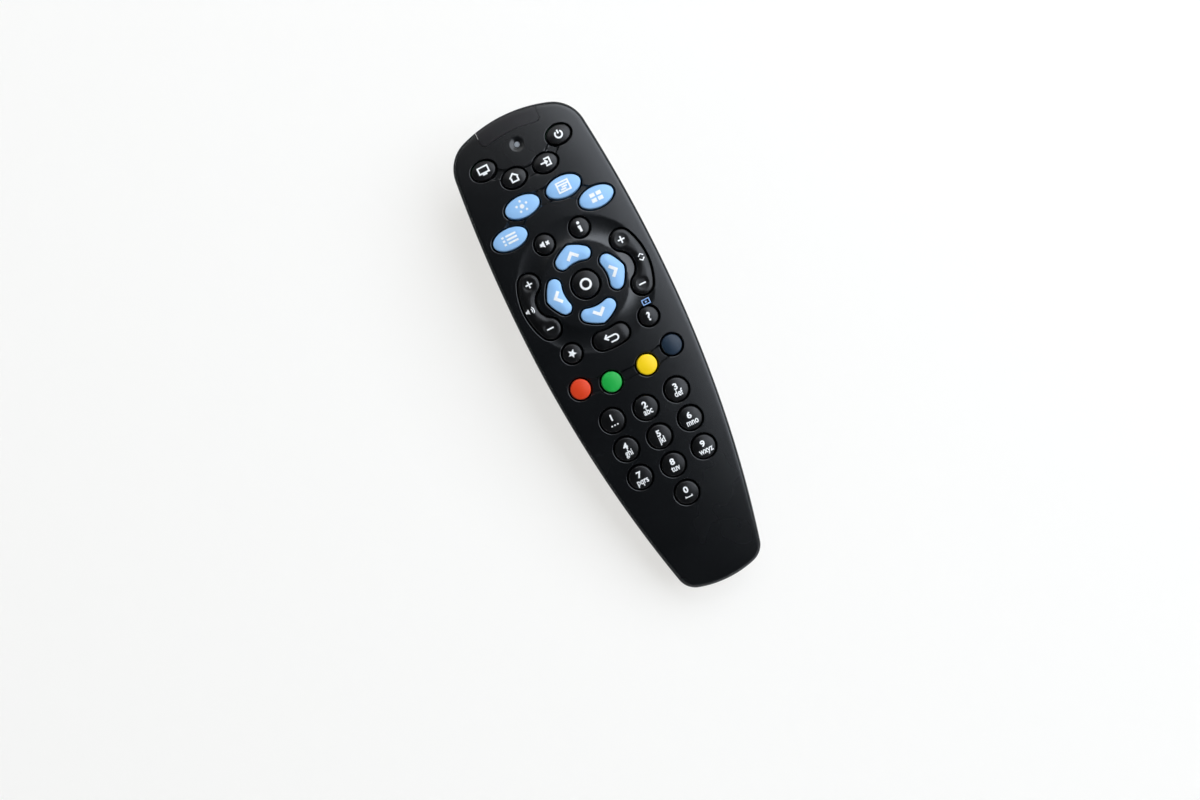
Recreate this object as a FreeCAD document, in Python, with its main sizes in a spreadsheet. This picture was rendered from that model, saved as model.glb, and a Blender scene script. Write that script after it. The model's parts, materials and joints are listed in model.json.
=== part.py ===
# Handheld remote control for a television set-top box, 200 mm long.
#
# Two frames are used. The case frame has its origin on the parting line between the two
# shells, with Z square to the circuit board, Y towards the head and X to the right. The
# table frame is the part's own frame: Z is up, and the remote lies on its back on z = 0.
# The case frame leans in it by case_tilt about X, because the back touches the table with
# the flat of the battery hump and with the tip of the tail.
# Keys, board, mat and the upper shell are modelled in the case frame and placed with that
# lean. The lower shell is leaned half way, and its battery bay, the cells, the contacts and
# the cover are modelled in the table frame, because they lie flat in the hump.
#
# Keys and the holes for them repeat forty times, so their round outlines are drawn with
# flats of facet_angle, which leave the arc by less than 0.2 mm.

import FreeCAD, Part
import os
from math import asin, atan2, ceil, cos, degrees, radians, sin, sqrt, tan
from types import SimpleNamespace

from FreeCAD import Placement, Rotation, Vector

SIZES = [
    # Plan outline at the parting line
    ("head_end", 100.0, "tip of the head, ahead of the case origin"),
    ("tail_end", 100.0, "tip of the tail, behind the case origin"),
    ("half_width", 30.85, "half of the greatest width"),
    ("widest_at", 22.0, "where the case is widest, along Y"),
    ("side_head_radius", 575.0, "plan arc of the sides, towards the head"),
    ("side_tail_radius", 510.0, "plan arc of the sides, towards the tail"),
    ("head_radius", 56.0, "plan arc of the head end"),
    ("head_corner", 13.8, "plan radius of the head corners"),
    ("tail_radius", 42.0, "plan arc of the tail end"),
    ("tail_corner", 8.6, "plan radius of the tail corners"),
    ("side_draft", 3.0, "lean of the upper side walls, degrees"),
    # Crowned face
    ("crown_height", 10.2, "highest point of the face above the parting line"),
    ("crown_at", 5.0, "where the face is highest, along Y"),
    ("face_long_radius", 800.0, "crown of the face lengthwise"),
    ("face_cross_radius", 320.0, "crown of the face crosswise"),
    ("rim_broad", 1.3, "edge between face and sides, main bevel"),
    ("rim_narrow", 0.45, "edge between face and sides, bevels beside it"),
    # Walls
    ("face_wall", 2.2, "thickness of the face"),
    ("ceiling_depth", 2.4, "depth at which the flats of the face's underside touch its crown"),
    ("ceiling_column", 20.0, "spacing of those flats across the case"),
    ("ceiling_row", 40.0, "spacing of those flats along the case"),
    ("side_wall", 1.9, "thickness of the side walls"),
    ("back_wall", 2.2, "thickness of the back"),
    ("lip_height", 1.2, "locating lip of the lower shell"),
    ("lip_thickness", 0.8, "thickness of that lip"),
    ("seam_gap", 0.12, "gap at fitted seams"),
    # How it lies
    ("case_tilt", 4.0, "lean of the case on the table, degrees"),
    ("case_lift", 17.2, "case origin above the table"),
    # Back, seen from the side
    ("back_draft", 10.0, "lean of the flanks of the back, degrees"),
    ("back_edge", 3.6, "bevel between flanks and back"),
    ("head_low", -7.0, "where the head's underside meets its end"),
    ("head_round", 16.0, "round from the head's end to the hump's flat"),
    ("hump_head", 87.0, "head end of the hump's flat"),
    ("hump_tail", 5.0, "tail end of the hump's flat"),
    ("hump_round", 26.0, "round at the tail end of the hump"),
    ("scoop_head", -30.0, "finger scoop, towards the head"),
    ("scoop_tail", -56.0, "finger scoop, towards the tail"),
    ("scoop_depth", 7.4, "back of the scoop below the parting line"),
    ("scoop_head_round", 40.0, "bend at the head end of the scoop"),
    ("scoop_tail_round", 64.0, "bend at the tail end of the scoop"),
    ("tail_rest_at", -88.0, "where the tail touches the table"),
    ("tail_flat", 1.0, "how much the table takes off the tail's bend"),
    ("tail_low", -4.0, "where the tail's underside meets its end"),
    ("tail_round", 14.0, "bend over the tail's resting place"),
    # Navigation disc and its moat
    ("nav_at", 28.5, "centre of the navigation disc, along Y"),
    ("moat_inner", 16.6, "inner edge of the moat"),
    ("moat_outer", 26.2, "outer edge of the moat"),
    ("moat_depth", 1.15, "depth of the moat"),
    ("moat_shoulder", 0.75, "depth half way up the moat, as a share of the whole"),
    # Board and keypad
    ("board_underside", 0.3, "underside of the circuit board above the parting line"),
    ("board_thickness", 1.2, "circuit board"),
    ("board_inset", 3.8, "board edge in from the outline"),
    ("board_head", 89.6, "head end of the board"),
    ("board_tail", -76.0, "tail end of the board"),
    ("mat_thickness", 1.0, "base sheet of the keypad"),
    ("mat_inset", 4.6, "keypad edge in from the outline"),
    ("mat_head", 84.8, "head end of the keypad"),
    ("mat_tail", -68.0, "tail end of the keypad"),
    # Keys
    ("facet_angle", 30.0, "turn taken by one flat of a round key or hole, degrees"),
    ("key_travel", 1.0, "travel of every key"),
    ("key_stop", 0.12, "what is left under a pressed key"),
    ("key_gap", 0.5, "gap between a key and its hole"),
    ("key_proud", 0.9, "how far a key stands above the face"),
    ("digit_key", 4.6, "radius of a digit key"),
    ("digit_column", 13.6, "outer digit columns from the middle"),
    ("digit_row", -22.6, "first digit row, outer columns"),
    ("digit_pitch", 12.3, "spacing of the digit rows"),
    ("digit_dip", 1.1, "middle digit column sits lower by this"),
    ("colour_key", 3.95, "radius of a colour key"),
    ("colour_outer_x", 19.4, "outer colour keys from the middle"),
    ("colour_outer_y", -6.4, "outer colour keys, along Y"),
    ("colour_inner_x", 7.5, "inner colour keys from the middle"),
    ("colour_inner_y", -9.05, "inner colour keys, along Y"),
    ("round_key", 3.7, "radius of the small round keys"),
    ("upper_pair_x", 7.35, "round pair above the disc, from the middle"),
    ("upper_pair_y", 48.75, "round pair above the disc, along Y"),
    ("lower_pair_x", 16.2, "round pair below the disc, from the middle"),
    ("lower_pair_y", 7.2, "round pair below the disc, along Y"),
    ("select_key", 5.25, "radius of the centre key"),
    ("corner_oval_x", 15.75, "outer ovals of the first row, from the middle"),
    ("corner_oval_y", 83.8, "outer ovals of the first row, along Y"),
    ("inner_oval_x", 6.55, "inner ovals of the first row, from the middle"),
    ("inner_oval_y", 76.2, "inner ovals of the first row, along Y"),
    ("small_oval_long", 4.75, "half length of a first-row oval"),
    ("small_oval_short", 3.55, "half height of a first-row oval"),
    ("wide_inner_x", 8.65, "inner ovals of the second row, from the middle"),
    ("wide_inner_y", 65.2, "inner ovals of the second row, along Y"),
    ("wide_outer_x", 18.15, "outer ovals of the second row, from the middle"),
    ("wide_outer_y", 56.3, "outer ovals of the second row, along Y"),
    ("wide_oval_long", 6.95, "half length of a second-row oval"),
    ("wide_oval_short", 4.0, "half height of a second-row oval"),
    ("arrow_tip", 16.05, "outer tip of an arrow key from the disc centre"),
    ("arrow_back", 9.15, "inner edge of an arrow key from the disc centre"),
    ("arrow_half", 7.1, "half width of an arrow key"),
    ("arrow_shoulder_at", 10.95, "widest place of an arrow key from the disc centre"),
    ("arrow_tip_round", 1.7, "corner radius at the tip"),
    ("arrow_shoulder_round", 2.55, "corner radius at the shoulders"),
    ("arrow_side_radius", 18.0, "bow of the sides"),
    ("rocker_path", 21.5, "path radius of the side rockers"),
    ("rocker_end", 4.05, "end radius of a rocker"),
    ("rocker_inner", 20.55, "inner arc of a rocker"),
    ("rocker_span", 25.3, "half angle between a rocker's ends, degrees"),
    ("rocker_neck", 6.0, "hollow radius behind a rocker's ends"),
    ("rocker_rib", 0.9, "radius of the rib that a rocker tilts on"),
    ("rocker_rib_long", 3.2, "length of that rib"),
    ("rocker_rib_gap", 0.1, "rib to the keypad's sheet"),
    ("bean_path", 22.4, "path radius of the bean key"),
    ("bean_end", 3.5, "half height of the bean key"),
    ("bean_span", 9.6, "half angle between the bean's ends, degrees"),
    # Channels between the keys
    ("channel_depth", 0.7, "depth of the channels that link the keys"),
    ("channel_start", 3.0, "start of a channel from the middle of its key"),
    ("channel_flare", 1.0, "how much a channel widens towards its keys, each side"),
    ("top_channel", 4.0, "waist of the channels in the first row"),
    ("wide_channel", 5.8, "waist of the channels in the second row"),
    ("colour_channel", 5.6, "waist of the outer channels in the colour row"),
    ("colour_channel_mid", 3.4, "waist of the middle channel in the colour row"),
    # Infrared window, lamp and dimple
    ("window_half", 12.3, "half width of the infrared window"),
    ("window_reach", 7.1, "window edge back from the head end"),
    ("window_corner", 2.0, "corner radius of the window"),
    ("window_drop", 4.5, "window below the parting line"),
    ("emitter_radius", 2.5, "infrared emitter"),
    ("emitter_nose", 1.5, "radius at the front of the emitter's nose"),
    ("emitter_flange", 2.9, "flange of the emitter"),
    ("emitter_flange_long", 1.0, "thickness of that flange"),
    ("emitter_pitch", 2.54, "spacing of the emitter's leads"),
    ("emitter_axis", -0.3, "axis of the emitter above the parting line"),
    ("emitter_gap", 0.5, "emitter to the board's edge and to the window"),
    ("lamp_at", 87.4, "indicator lamp, along Y"),
    ("lamp_radius", 1.05, "indicator lamp"),
    ("lamp_foot", 2.4, "side of the lamp's square foot"),
    ("lamp_foot_high", 0.9, "height of that foot"),
    ("dimple_radius", 2.5, "dimple round the lamp"),
    ("dimple_depth", 0.9, "depth of that dimple"),
    # Screws and posts
    ("screw_edge", 10.85, "head pair of board screws, in from the greatest half width"),
    ("screw_head_y", 71.6, "head pair of board screws, along Y"),
    ("screw_tail_y", -72.0, "tail board screw, along Y"),
    ("screw_radius", 0.8, "shank of a board screw"),
    ("screw_cap", 1.9, "head radius of a board screw"),
    ("screw_cap_high", 1.1, "head height of a board screw"),
    ("screw_spare", 0.4, "end of a screw to the face's underside"),
    ("boss_radius", 2.2, "screw boss under the face"),
    ("post_radius", 1.6, "post under the board"),
    ("post_edge", 11.35, "posts under the board, in from the greatest half width"),
    ("post_head_y", 82.0, "head pair of posts, along Y"),
    ("post_tail_y", -40.0, "tail pair of posts, along Y"),
    # Cells and bay
    ("cell_diameter", 14.5, "one cell"),
    ("cell_length", 50.5, "one cell over its nub"),
    ("nub_radius", 2.75, "nub of a cell"),
    ("nub_length", 1.2, "nub of a cell"),
    ("cell_pitch", 15.0, "spacing of the two cells"),
    ("cell_play", 0.3, "play round a cell"),
    ("cells_middle", 43.4, "middle of the cells, along Y"),
    ("contact_room", 3.2, "room for a contact at each end of the bay"),
    ("contact_sheet", 0.4, "thickness of the contact metal"),
    ("contact_width", 9.0, "width of a contact"),
    ("contact_high", 9.0, "height of a contact"),
    ("contact_gap", 0.15, "contact to cell"),
    ("leaf_width", 6.0, "width of a leaf spring"),
    ("leaf_crest", 3.0, "height of the leaf's crest"),
    ("cup_side", 5.6, "side of the pressed step that meets a nub"),
    ("tab_width", 2.4, "solder tab of a contact"),
    ("bay_wall", 1.4, "walls and ceiling of the bay"),
    # Battery cover
    ("cover_thickness", 1.6, "battery cover"),
    ("cover_recess", 0.2, "cover above the table"),
    ("cover_half", 17.5, "half width of the cover"),
    ("cover_tail", 8.5, "tail end of the cover, along Y"),
    ("cover_head", 77.0, "head end of the cover, along Y"),
    ("cover_corner", 3.0, "corner radius of the cover"),
    ("cover_gap", 0.3, "gap round the cover"),
    ("rail_reach", 1.0, "rails of the cover"),
    ("rail_height", 0.7, "height of a rail"),
    ("rail_tail", 20.5, "tail end of the rails, along Y"),
    ("rail_head", 71.0, "head end of the rails, along Y"),
    ("tongue_half", 6.0, "half width of the cover's tongue"),
    ("tongue_reach", 1.8, "reach of the tongue"),
    ("grip_at", 61.0, "middle of the thumb grip, along Y"),
    ("grip_half", 6.0, "half width of the thumb grip"),
    ("grip_depth", 0.5, "depth of its grooves"),
    ("grip_groove", 1.2, "width of one groove"),
    ("grip_pitch", 2.2, "spacing of the grooves"),
    ("grip_count", 5.0, "grooves in the grip"),
    # Parts on the board
    ("chip_long", 8.9, "controller chip along Y"),
    ("chip_wide", 3.9, "controller chip along X"),
    ("chip_high", 1.6, "controller chip"),
    ("chip_at", -34.0, "controller chip, along Y"),
    ("lead_count", 7.0, "leads along one side of the chip"),
    ("lead_pitch", 1.27, "spacing of the leads"),
    ("lead_width", 0.45, "width of a lead"),
    ("lead_reach", 1.1, "reach of a lead beside the chip"),
    ("lead_sheet", 0.3, "thickness of a lead"),
    ("resonator_at", -18.0, "resonator, along Y"),
    ("resonator_long", 7.4, "resonator along X"),
    ("resonator_wide", 3.0, "resonator along Y"),
    ("resonator_high", 3.5, "resonator"),
    ("resonator_flange", 0.4, "flange round the resonator's foot"),
    ("capacitor_x", 10.0, "capacitor, along X"),
    ("capacitor_radius", 2.5, "capacitor"),
    ("capacitor_length", 6.0, "capacitor"),
]

doc = FreeCAD.newDocument("remote_control")
sheet = doc.addObject("Spreadsheet::Sheet", "sizes")
for row, (alias, value, meaning) in enumerate(SIZES, start=1):
    sheet.set(f"A{row}", meaning)
    sheet.set(f"B{row}", str(value))
    sheet.setAlias(f"B{row}", alias)
doc.recompute()
size = SimpleNamespace(**{alias: float(sheet.get(alias)) for alias, _, _ in SIZES})

# Spans of the blocks that only cut or limit a piece: longer, wider and taller than the case
FAR = 150.0
TALL = 40.0

# Heights that follow from the stacks of pieces, as expressions on the sheet
BOARD_TOP = "(sizes.board_underside + sizes.board_thickness)"
MAT_TOP = f"({BOARD_TOP} + sizes.mat_thickness)"
CAP_BOTTOM = f"({MAT_TOP} + sizes.key_travel + sizes.key_stop)"
RIB_AXIS = f"({MAT_TOP} + sizes.rocker_rib_gap + sizes.rocker_rib)"
COVER_TOP = "(sizes.cover_recess + sizes.cover_thickness)"
RAIL_BOTTOM = f"({COVER_TOP} - sizes.rail_height)"
CELL_AXIS = f"({COVER_TOP} + sizes.cell_play + sizes.cell_diameter / 2)"
BAY_TOP = f"({CELL_AXIS} + sizes.cell_diameter / 2 + sizes.cell_play)"
BAY_HALF = "(sizes.cell_pitch / 2 + sizes.cell_diameter / 2 + sizes.cell_play)"
BAY_TAIL = "(sizes.cells_middle - sizes.cell_length / 2 - sizes.contact_room)"
BAY_HEAD = "(sizes.cells_middle + sizes.cell_length / 2 + sizes.contact_room)"

tilt = radians(size.case_tilt)
case_placement = Placement(
    Vector(0, 0, size.case_lift), Rotation(Vector(1, 0, 0), size.case_tilt)
)
sub_parts = []


def number(expression):
    """Value of an expression on the sheet."""
    return float(sheet.evalExpression(expression))


def bind(obj, **expressions):
    for name, expression in expressions.items():
        obj.setExpression(name, expression)
    return obj


def lean(obj):
    """Places a form drawn in the case frame as it lies on the table."""
    obj.Placement = case_placement
    obj.setExpression("Placement.Base.z", "sizes.case_lift")
    obj.setExpression("Placement.Rotation.Angle", "sizes.case_tilt")
    return obj


def sub_part(obj, label, in_case_frame=True):
    """Names a finished piece and leans it with the case where it was drawn in the case frame."""
    obj.Label = label
    if in_case_frame:
        lean(obj)
    sub_parts.append(obj)
    return obj


def feature(name, shape):
    """A form that no primitive or sketch describes, drawn from the sheet's values."""
    obj = doc.addObject("Part::Feature", name)
    obj.Shape = shape
    return obj


def box(name, x, y, z):
    """Box between two expressions along each axis."""
    obj = doc.addObject("Part::Box", name)
    bind(
        obj,
        Length=f"({x[1]}) - ({x[0]})",
        Width=f"({y[1]}) - ({y[0]})",
        Height=f"({z[1]}) - ({z[0]})",
    )
    obj.setExpression("Placement.Base.x", x[0])
    obj.setExpression("Placement.Base.y", y[0])
    obj.setExpression("Placement.Base.z", z[0])
    return obj


def cut(name, base, *tools):
    """Cuts the tools from a base one after another, because some of them overlap."""
    for tool in tools:
        obj = doc.addObject("Part::Cut", name if tool is tools[-1] else f"{name}_less_{tool.Name}")
        obj.Base = base
        obj.Tool = tool
        base = obj
    return base


def fuse(name, *shapes):
    obj = doc.addObject("Part::MultiFuse", name)
    obj.Shapes = list(shapes)
    return obj


def common(name, *shapes):
    obj = doc.addObject("Part::MultiCommon", name)
    obj.Shapes = list(shapes)
    return obj


def bevel(name, base, edges, width):
    """Chamfer of equal legs along numbered edges."""
    obj = doc.addObject("Part::Chamfer", name)
    obj.Base = base
    obj.Edges = [(place, width, width) for place in edges]
    doc.recompute()
    return obj


def soft_edge(name, base, runs_along, broad, narrow):
    """Rounded edge in three flats: a broad bevel, then a narrow one along both its borders."""
    doc.recompute()
    chosen = [place for place, edge in enumerate(base.Shape.Edges, 1) if runs_along(edge)]
    first = bevel(f"{name}_broad", base, chosen, broad)
    band = [face for face in first.Shape.Faces if isinstance(face.Surface, Part.BSplineSurface)]
    borders = []
    for place, edge in enumerate(first.Shape.Edges, 1):
        beside = sum(any(edge.isSame(other) for other in face.Edges) for face in band)
        if beside == 1 and len(edge.Vertexes) == 2:
            borders.append(place)
    return bevel(name, first, borders, narrow)


def meet(centre_a, radius_a, centre_b, radius_b, side):
    """One of the two points at radius_a from centre_a and radius_b from centre_b."""
    across = centre_b - centre_a
    distance = across.Length
    along = (distance**2 + radius_a**2 - radius_b**2) / (2 * distance)
    off = sqrt(radius_a**2 - along**2)
    unit = across / distance
    return centre_a + unit * along + Vector(-unit.y, unit.x, 0) * off * side


def touch(big_centre, big_radius, small_centre):
    """Where a small circle inside a big one touches it."""
    return big_centre + (small_centre - big_centre).normalize() * big_radius


def arc(centre, start, end, radius):
    """Arc from start to end about a centre, on the side of their chord."""
    middle = (start + end) * 0.5 - centre
    return Part.Arc(start, centre + middle.normalize() * radius, end).toShape()


def mirrored(edges):
    """The edges of a right half, followed by their mirror images in reverse order."""
    return edges + [edge.mirror(Vector(0, 0, 0), Vector(1, 0, 0)) for edge in reversed(edges)]


def closed(edges):
    return Part.Wire(Part.__sortEdges__(edges))


def placed(edges, turn, centre):
    """Edges drawn about the origin, turned and moved to a centre."""
    turned = [edge.rotated(Vector(0, 0, 0), Vector(0, 0, 1), turn) for edge in edges]
    return closed([edge.translated(centre) for edge in turned])


def polar(radius, angle):
    """Point at a radius and an angle in degrees from +X, about the origin."""
    return Vector(radius * cos(radians(angle)), radius * sin(radians(angle)), 0)


def outline(inset=0.0):
    """Plan outline of the case, drawn in by inset: twelve arcs that run into each other."""
    head_centre = Vector(0, size.head_end - size.head_radius, 0)
    tail_centre = Vector(0, size.tail_radius - size.tail_end, 0)
    side_head = Vector(size.half_width - size.side_head_radius, size.widest_at, 0)
    side_tail = Vector(size.half_width - size.side_tail_radius, size.widest_at, 0)
    head_corner = meet(
        head_centre, size.head_radius - size.head_corner,
        side_head, size.side_head_radius - size.head_corner, -1,
    )
    tail_corner = meet(
        tail_centre, size.tail_radius - size.tail_corner,
        side_tail, size.side_tail_radius - size.tail_corner, 1,
    )
    tail_tip = Vector(0, inset - size.tail_end, 0)
    head_tip = Vector(0, size.head_end - inset, 0)
    widest = Vector(size.half_width - inset, size.widest_at, 0)
    tail_in = touch(tail_centre, size.tail_radius - inset, tail_corner)
    tail_out = touch(side_tail, size.side_tail_radius - inset, tail_corner)
    head_in = touch(side_head, size.side_head_radius - inset, head_corner)
    head_out = touch(head_centre, size.head_radius - inset, head_corner)
    right = [
        arc(tail_centre, tail_tip, tail_in, size.tail_radius - inset),
        arc(tail_corner, tail_in, tail_out, size.tail_corner - inset),
        arc(side_tail, tail_out, widest, size.side_tail_radius - inset),
        arc(side_head, widest, head_in, size.side_head_radius - inset),
        arc(head_corner, head_in, head_out, size.head_corner - inset),
        arc(head_centre, head_out, head_tip, size.head_radius - inset),
    ]
    return closed(mirrored(right))


def block(inset, bottom, top, draft):
    """The outline as a solid between two heights, leaning in away from the parting line."""
    slope = tan(radians(draft))
    lower = outline(inset + abs(bottom) * slope)
    lower.translate(Vector(0, 0, bottom))
    upper = outline(inset + abs(top) * slope)
    upper.translate(Vector(0, 0, top))
    return Part.makeLoft([lower, upper], True, True)


def crown(name, offset):
    """The face as the outer skin of a very large ring, moved out by an expression."""
    ring = doc.addObject("Part::Torus", name)
    bind(
        ring,
        Radius1="sizes.face_long_radius - sizes.face_cross_radius",
        Radius2=f"sizes.face_cross_radius + ({offset})",
    )
    ring.Placement = Placement(Vector(0, 0, 0), Rotation(Vector(0, 1, 0), 90))
    ring.setExpression("Placement.Base.y", "sizes.crown_at")
    ring.setExpression("Placement.Base.z", "sizes.crown_height - sizes.face_long_radius")
    return ring


def face_point(x, y):
    """Point of the face over a place of the plan, and the face's normal there."""
    ring_radius = size.face_long_radius - size.face_cross_radius
    cross = sqrt(size.face_cross_radius**2 - x**2)
    reach = sqrt((ring_radius + cross) ** 2 - (y - size.crown_at) ** 2)
    swing = asin((y - size.crown_at) / (ring_radius + cross))
    point = Vector(x, y, size.crown_height - size.face_long_radius + reach)
    normal = Vector(x, cross * sin(swing), cross * cos(swing)).normalize()
    return point, normal


def face_plane(x, y, offset):
    """Placement on the plane that touches a raised or sunk copy of the face at a point."""
    point, normal = face_point(x, y)
    return Placement(point + normal * offset, Rotation(Vector(0, 0, 1), normal))


def table_height(along):
    """Height of the table below the parting line, in the case frame."""
    return -(size.case_lift + along * sin(tilt)) / cos(tilt)


def faceted(wire):
    """The wire with its arcs turned into flats of facet_angle."""
    points = []
    for edge in wire.OrderedEdges:
        first = edge.FirstParameter
        turn = edge.LastParameter - first
        flats = 1
        if not isinstance(edge.Curve, (Part.Line, Part.LineSegment)):
            flats = ceil(round(degrees(turn) / size.facet_angle, 3))
        stops = [edge.valueAt(first + turn * place / flats) for place in range(flats + 1)]
        if edge.Orientation == "Reversed":
            stops.reverse()
        points += stops[:-1]
    return Part.makePolygon(points + points[:1])


def prism(wire, bottom, top):
    """Upright solid over a plan wire."""
    plan = Part.Face(wire)
    plan.translate(Vector(0, 0, bottom))
    return plan.extrude(Vector(0, 0, top - bottom))


def round_plan(radius, centre, grow=0.0):
    return Part.Wire([Part.Circle(centre, Vector(0, 0, 1), radius + grow).toShape()])


def oval_plan(long_half, short_half, centre, grow=0.0):
    return Part.Wire([Part.Ellipse(centre, long_half + grow, short_half + grow).toShape()])


def arrow_plan(turn, grow=0.0):
    """Rounded triangle with bowed sides and a hollow back, its tip away from the disc's centre."""
    tip = Vector(0, size.arrow_tip - size.arrow_tip_round, 0)
    tip_radius = size.arrow_tip_round + grow
    shoulder = Vector(size.arrow_half - size.arrow_shoulder_round, size.arrow_shoulder_at, 0)
    shoulder_radius = size.arrow_shoulder_round + grow
    side_radius = size.arrow_side_radius + grow
    side = meet(
        tip, size.arrow_side_radius - size.arrow_tip_round,
        shoulder, size.arrow_side_radius - size.arrow_shoulder_round, -1,
    )
    rise = size.arrow_shoulder_at - size.arrow_back
    back_radius = (shoulder.x**2 + rise**2 - size.arrow_shoulder_round**2) / (
        2 * (size.arrow_shoulder_round - rise)
    )
    back = Vector(0, size.arrow_back - back_radius, 0)
    back_radius = back_radius - grow
    top = Vector(0, tip.y + tip_radius, 0)
    tip_out = touch(side, side_radius, tip)
    side_out = touch(side, side_radius, shoulder)
    back_out = back + (shoulder - back).normalize() * back_radius
    back_middle = Vector(0, back.y + back_radius, 0)
    outward = shoulder + Vector(1, -0.6, 0).normalize() * shoulder_radius
    right = [
        arc(tip, top, tip_out, tip_radius),
        arc(side, tip_out, side_out, side_radius),
        Part.Arc(side_out, outward, back_out).toShape(),
        arc(back, back_out, back_middle, back_radius),
    ]
    return placed(mirrored(right), turn, Vector(0, size.nav_at, 0))


def rocker_plan(turn, grow=0.0):
    """Kidney bent round the disc: two full ends joined by a thinner arc."""
    origin = Vector(0, 0, 0)
    end = polar(size.rocker_path, size.rocker_span)
    end_radius = size.rocker_end + grow
    outer = size.rocker_path + end_radius
    inner = size.rocker_inner - grow
    neck = meet(
        origin, size.rocker_inner - size.rocker_neck,
        end, size.rocker_end + size.rocker_neck, -1,
    )
    neck_radius = size.rocker_neck - grow
    outer_out = polar(outer, size.rocker_span)
    end_in = end + (neck - end).normalize() * end_radius
    neck_out = touch(origin, inner, neck)
    beyond = end + polar(end_radius, size.rocker_span + 100)
    half = [
        arc(origin, polar(outer, 0), outer_out, outer),
        Part.Arc(outer_out, beyond, end_in).toShape(),
        arc(neck, end_in, neck_out, neck_radius),
        arc(origin, neck_out, polar(inner, 0), inner),
    ]
    edges = half + [edge.mirror(Vector(0, 0, 0), Vector(0, 1, 0)) for edge in reversed(half)]
    return placed(edges, turn, Vector(0, size.nav_at, 0))


def bean_plan(grow=0.0):
    """Short arc slot below the disc, bent round it."""
    origin = Vector(0, 0, 0)
    end_radius = size.bean_end + grow
    ends = [polar(size.bean_path, 270 + side * size.bean_span) for side in (-1, 1)]
    outer = [end * (1 + end_radius / size.bean_path) for end in ends]
    inner = [end * (1 - end_radius / size.bean_path) for end in ends]
    beyond = [
        end + polar(end_radius, 270 + side * (size.bean_span + 90))
        for end, side in zip(ends, (-1, 1))
    ]
    edges = [
        arc(origin, outer[0], outer[1], size.bean_path + end_radius),
        Part.Arc(outer[1], beyond[1], inner[1]).toShape(),
        arc(origin, inner[1], inner[0], size.bean_path - end_radius),
        Part.Arc(inner[0], beyond[0], outer[0]).toShape(),
    ]
    return placed(edges, 0, Vector(0, size.nav_at, 0))


def key_list():
    """Every key: name, plan function and middle."""
    keys = []

    def round_key(name, radius, x, y):
        centre = Vector(x, y, 0)
        keys.append((name, lambda grow=0.0: round_plan(radius, centre, grow), centre))

    def oval_key(name, long_half, short_half, x, y):
        centre = Vector(x, y, 0)
        keys.append((name, lambda grow=0.0: oval_plan(long_half, short_half, centre, grow), centre))

    small = (size.small_oval_long, size.small_oval_short)
    oval_key("key_screen", *small, -size.corner_oval_x, size.corner_oval_y)
    oval_key("key_power", *small, size.corner_oval_x, size.corner_oval_y)
    oval_key("key_home", *small, -size.inner_oval_x, size.inner_oval_y)
    oval_key("key_inputs", *small, size.inner_oval_x, size.inner_oval_y)
    wide = (size.wide_oval_long, size.wide_oval_short)
    oval_key("key_featured", *wide, -size.wide_inner_x, size.wide_inner_y)
    oval_key("key_planner", *wide, size.wide_inner_x, size.wide_inner_y)
    oval_key("key_guide", *wide, -size.wide_outer_x, size.wide_outer_y)
    oval_key("key_extras", *wide, size.wide_outer_x, size.wide_outer_y)
    round_key("key_mute", size.round_key, -size.upper_pair_x, size.upper_pair_y)
    round_key("key_info", size.round_key, size.upper_pair_x, size.upper_pair_y)
    round_key("key_select", size.select_key, 0, size.nav_at)
    nav = Vector(0, size.nav_at, 0)
    for name, turn in (("up", 0), ("left", 90), ("down", 180), ("right", 270)):
        centre = nav + polar(size.arrow_shoulder_at, turn + 90)
        keys.append((f"key_{name}", lambda grow=0.0, turn=turn: arrow_plan(turn, grow), centre))
    for name, turn in (("channel", 0), ("volume", 180)):
        centre = nav + polar((size.rocker_path + size.rocker_end + size.rocker_inner) / 2, turn)
        keys.append((f"key_{name}", lambda grow=0.0, turn=turn: rocker_plan(turn, grow), centre))
    keys.append(("key_back", bean_plan, nav + polar(size.bean_path, 270)))
    round_key("key_favourites", size.round_key, -size.lower_pair_x, size.lower_pair_y)
    round_key("key_help", size.round_key, size.lower_pair_x, size.lower_pair_y)
    round_key("key_red", size.colour_key, -size.colour_outer_x, size.colour_outer_y)
    round_key("key_green", size.colour_key, -size.colour_inner_x, size.colour_inner_y)
    round_key("key_yellow", size.colour_key, size.colour_inner_x, size.colour_inner_y)
    round_key("key_blue", size.colour_key, size.colour_outer_x, size.colour_outer_y)
    for digit in range(1, 10):
        column = (digit - 1) % 3 - 1
        row = (digit - 1) // 3
        dip = size.digit_dip if column == 0 else 0.0
        y = size.digit_row - row * size.digit_pitch - dip
        round_key(f"key_{digit}", size.digit_key, column * size.digit_column, y)
    y = size.digit_row - 3 * size.digit_pitch - size.digit_dip
    round_key("key_0", size.digit_key, 0, y)
    return keys


def channel(start, end, waist):
    """Plan of a channel between two keys: a strip with hollow sides, from well to well."""
    along = (end - start).normalize()
    start = start + along * size.channel_start
    end = end - along * size.channel_start
    length = (end - start).Length
    half = waist / 2
    wide = half + size.channel_flare
    edges = [
        Part.Arc(Vector(0, wide, 0), Vector(length / 2, half, 0), Vector(length, wide, 0)).toShape(),
        Part.LineSegment(Vector(length, wide, 0), Vector(length, -wide, 0)).toShape(),
        Part.Arc(Vector(length, -wide, 0), Vector(length / 2, -half, 0), Vector(0, -wide, 0)).toShape(),
        Part.LineSegment(Vector(0, -wide, 0), Vector(0, wide, 0)).toShape(),
    ]
    return placed(edges, degrees(atan2(along.y, along.x)), start)


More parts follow.
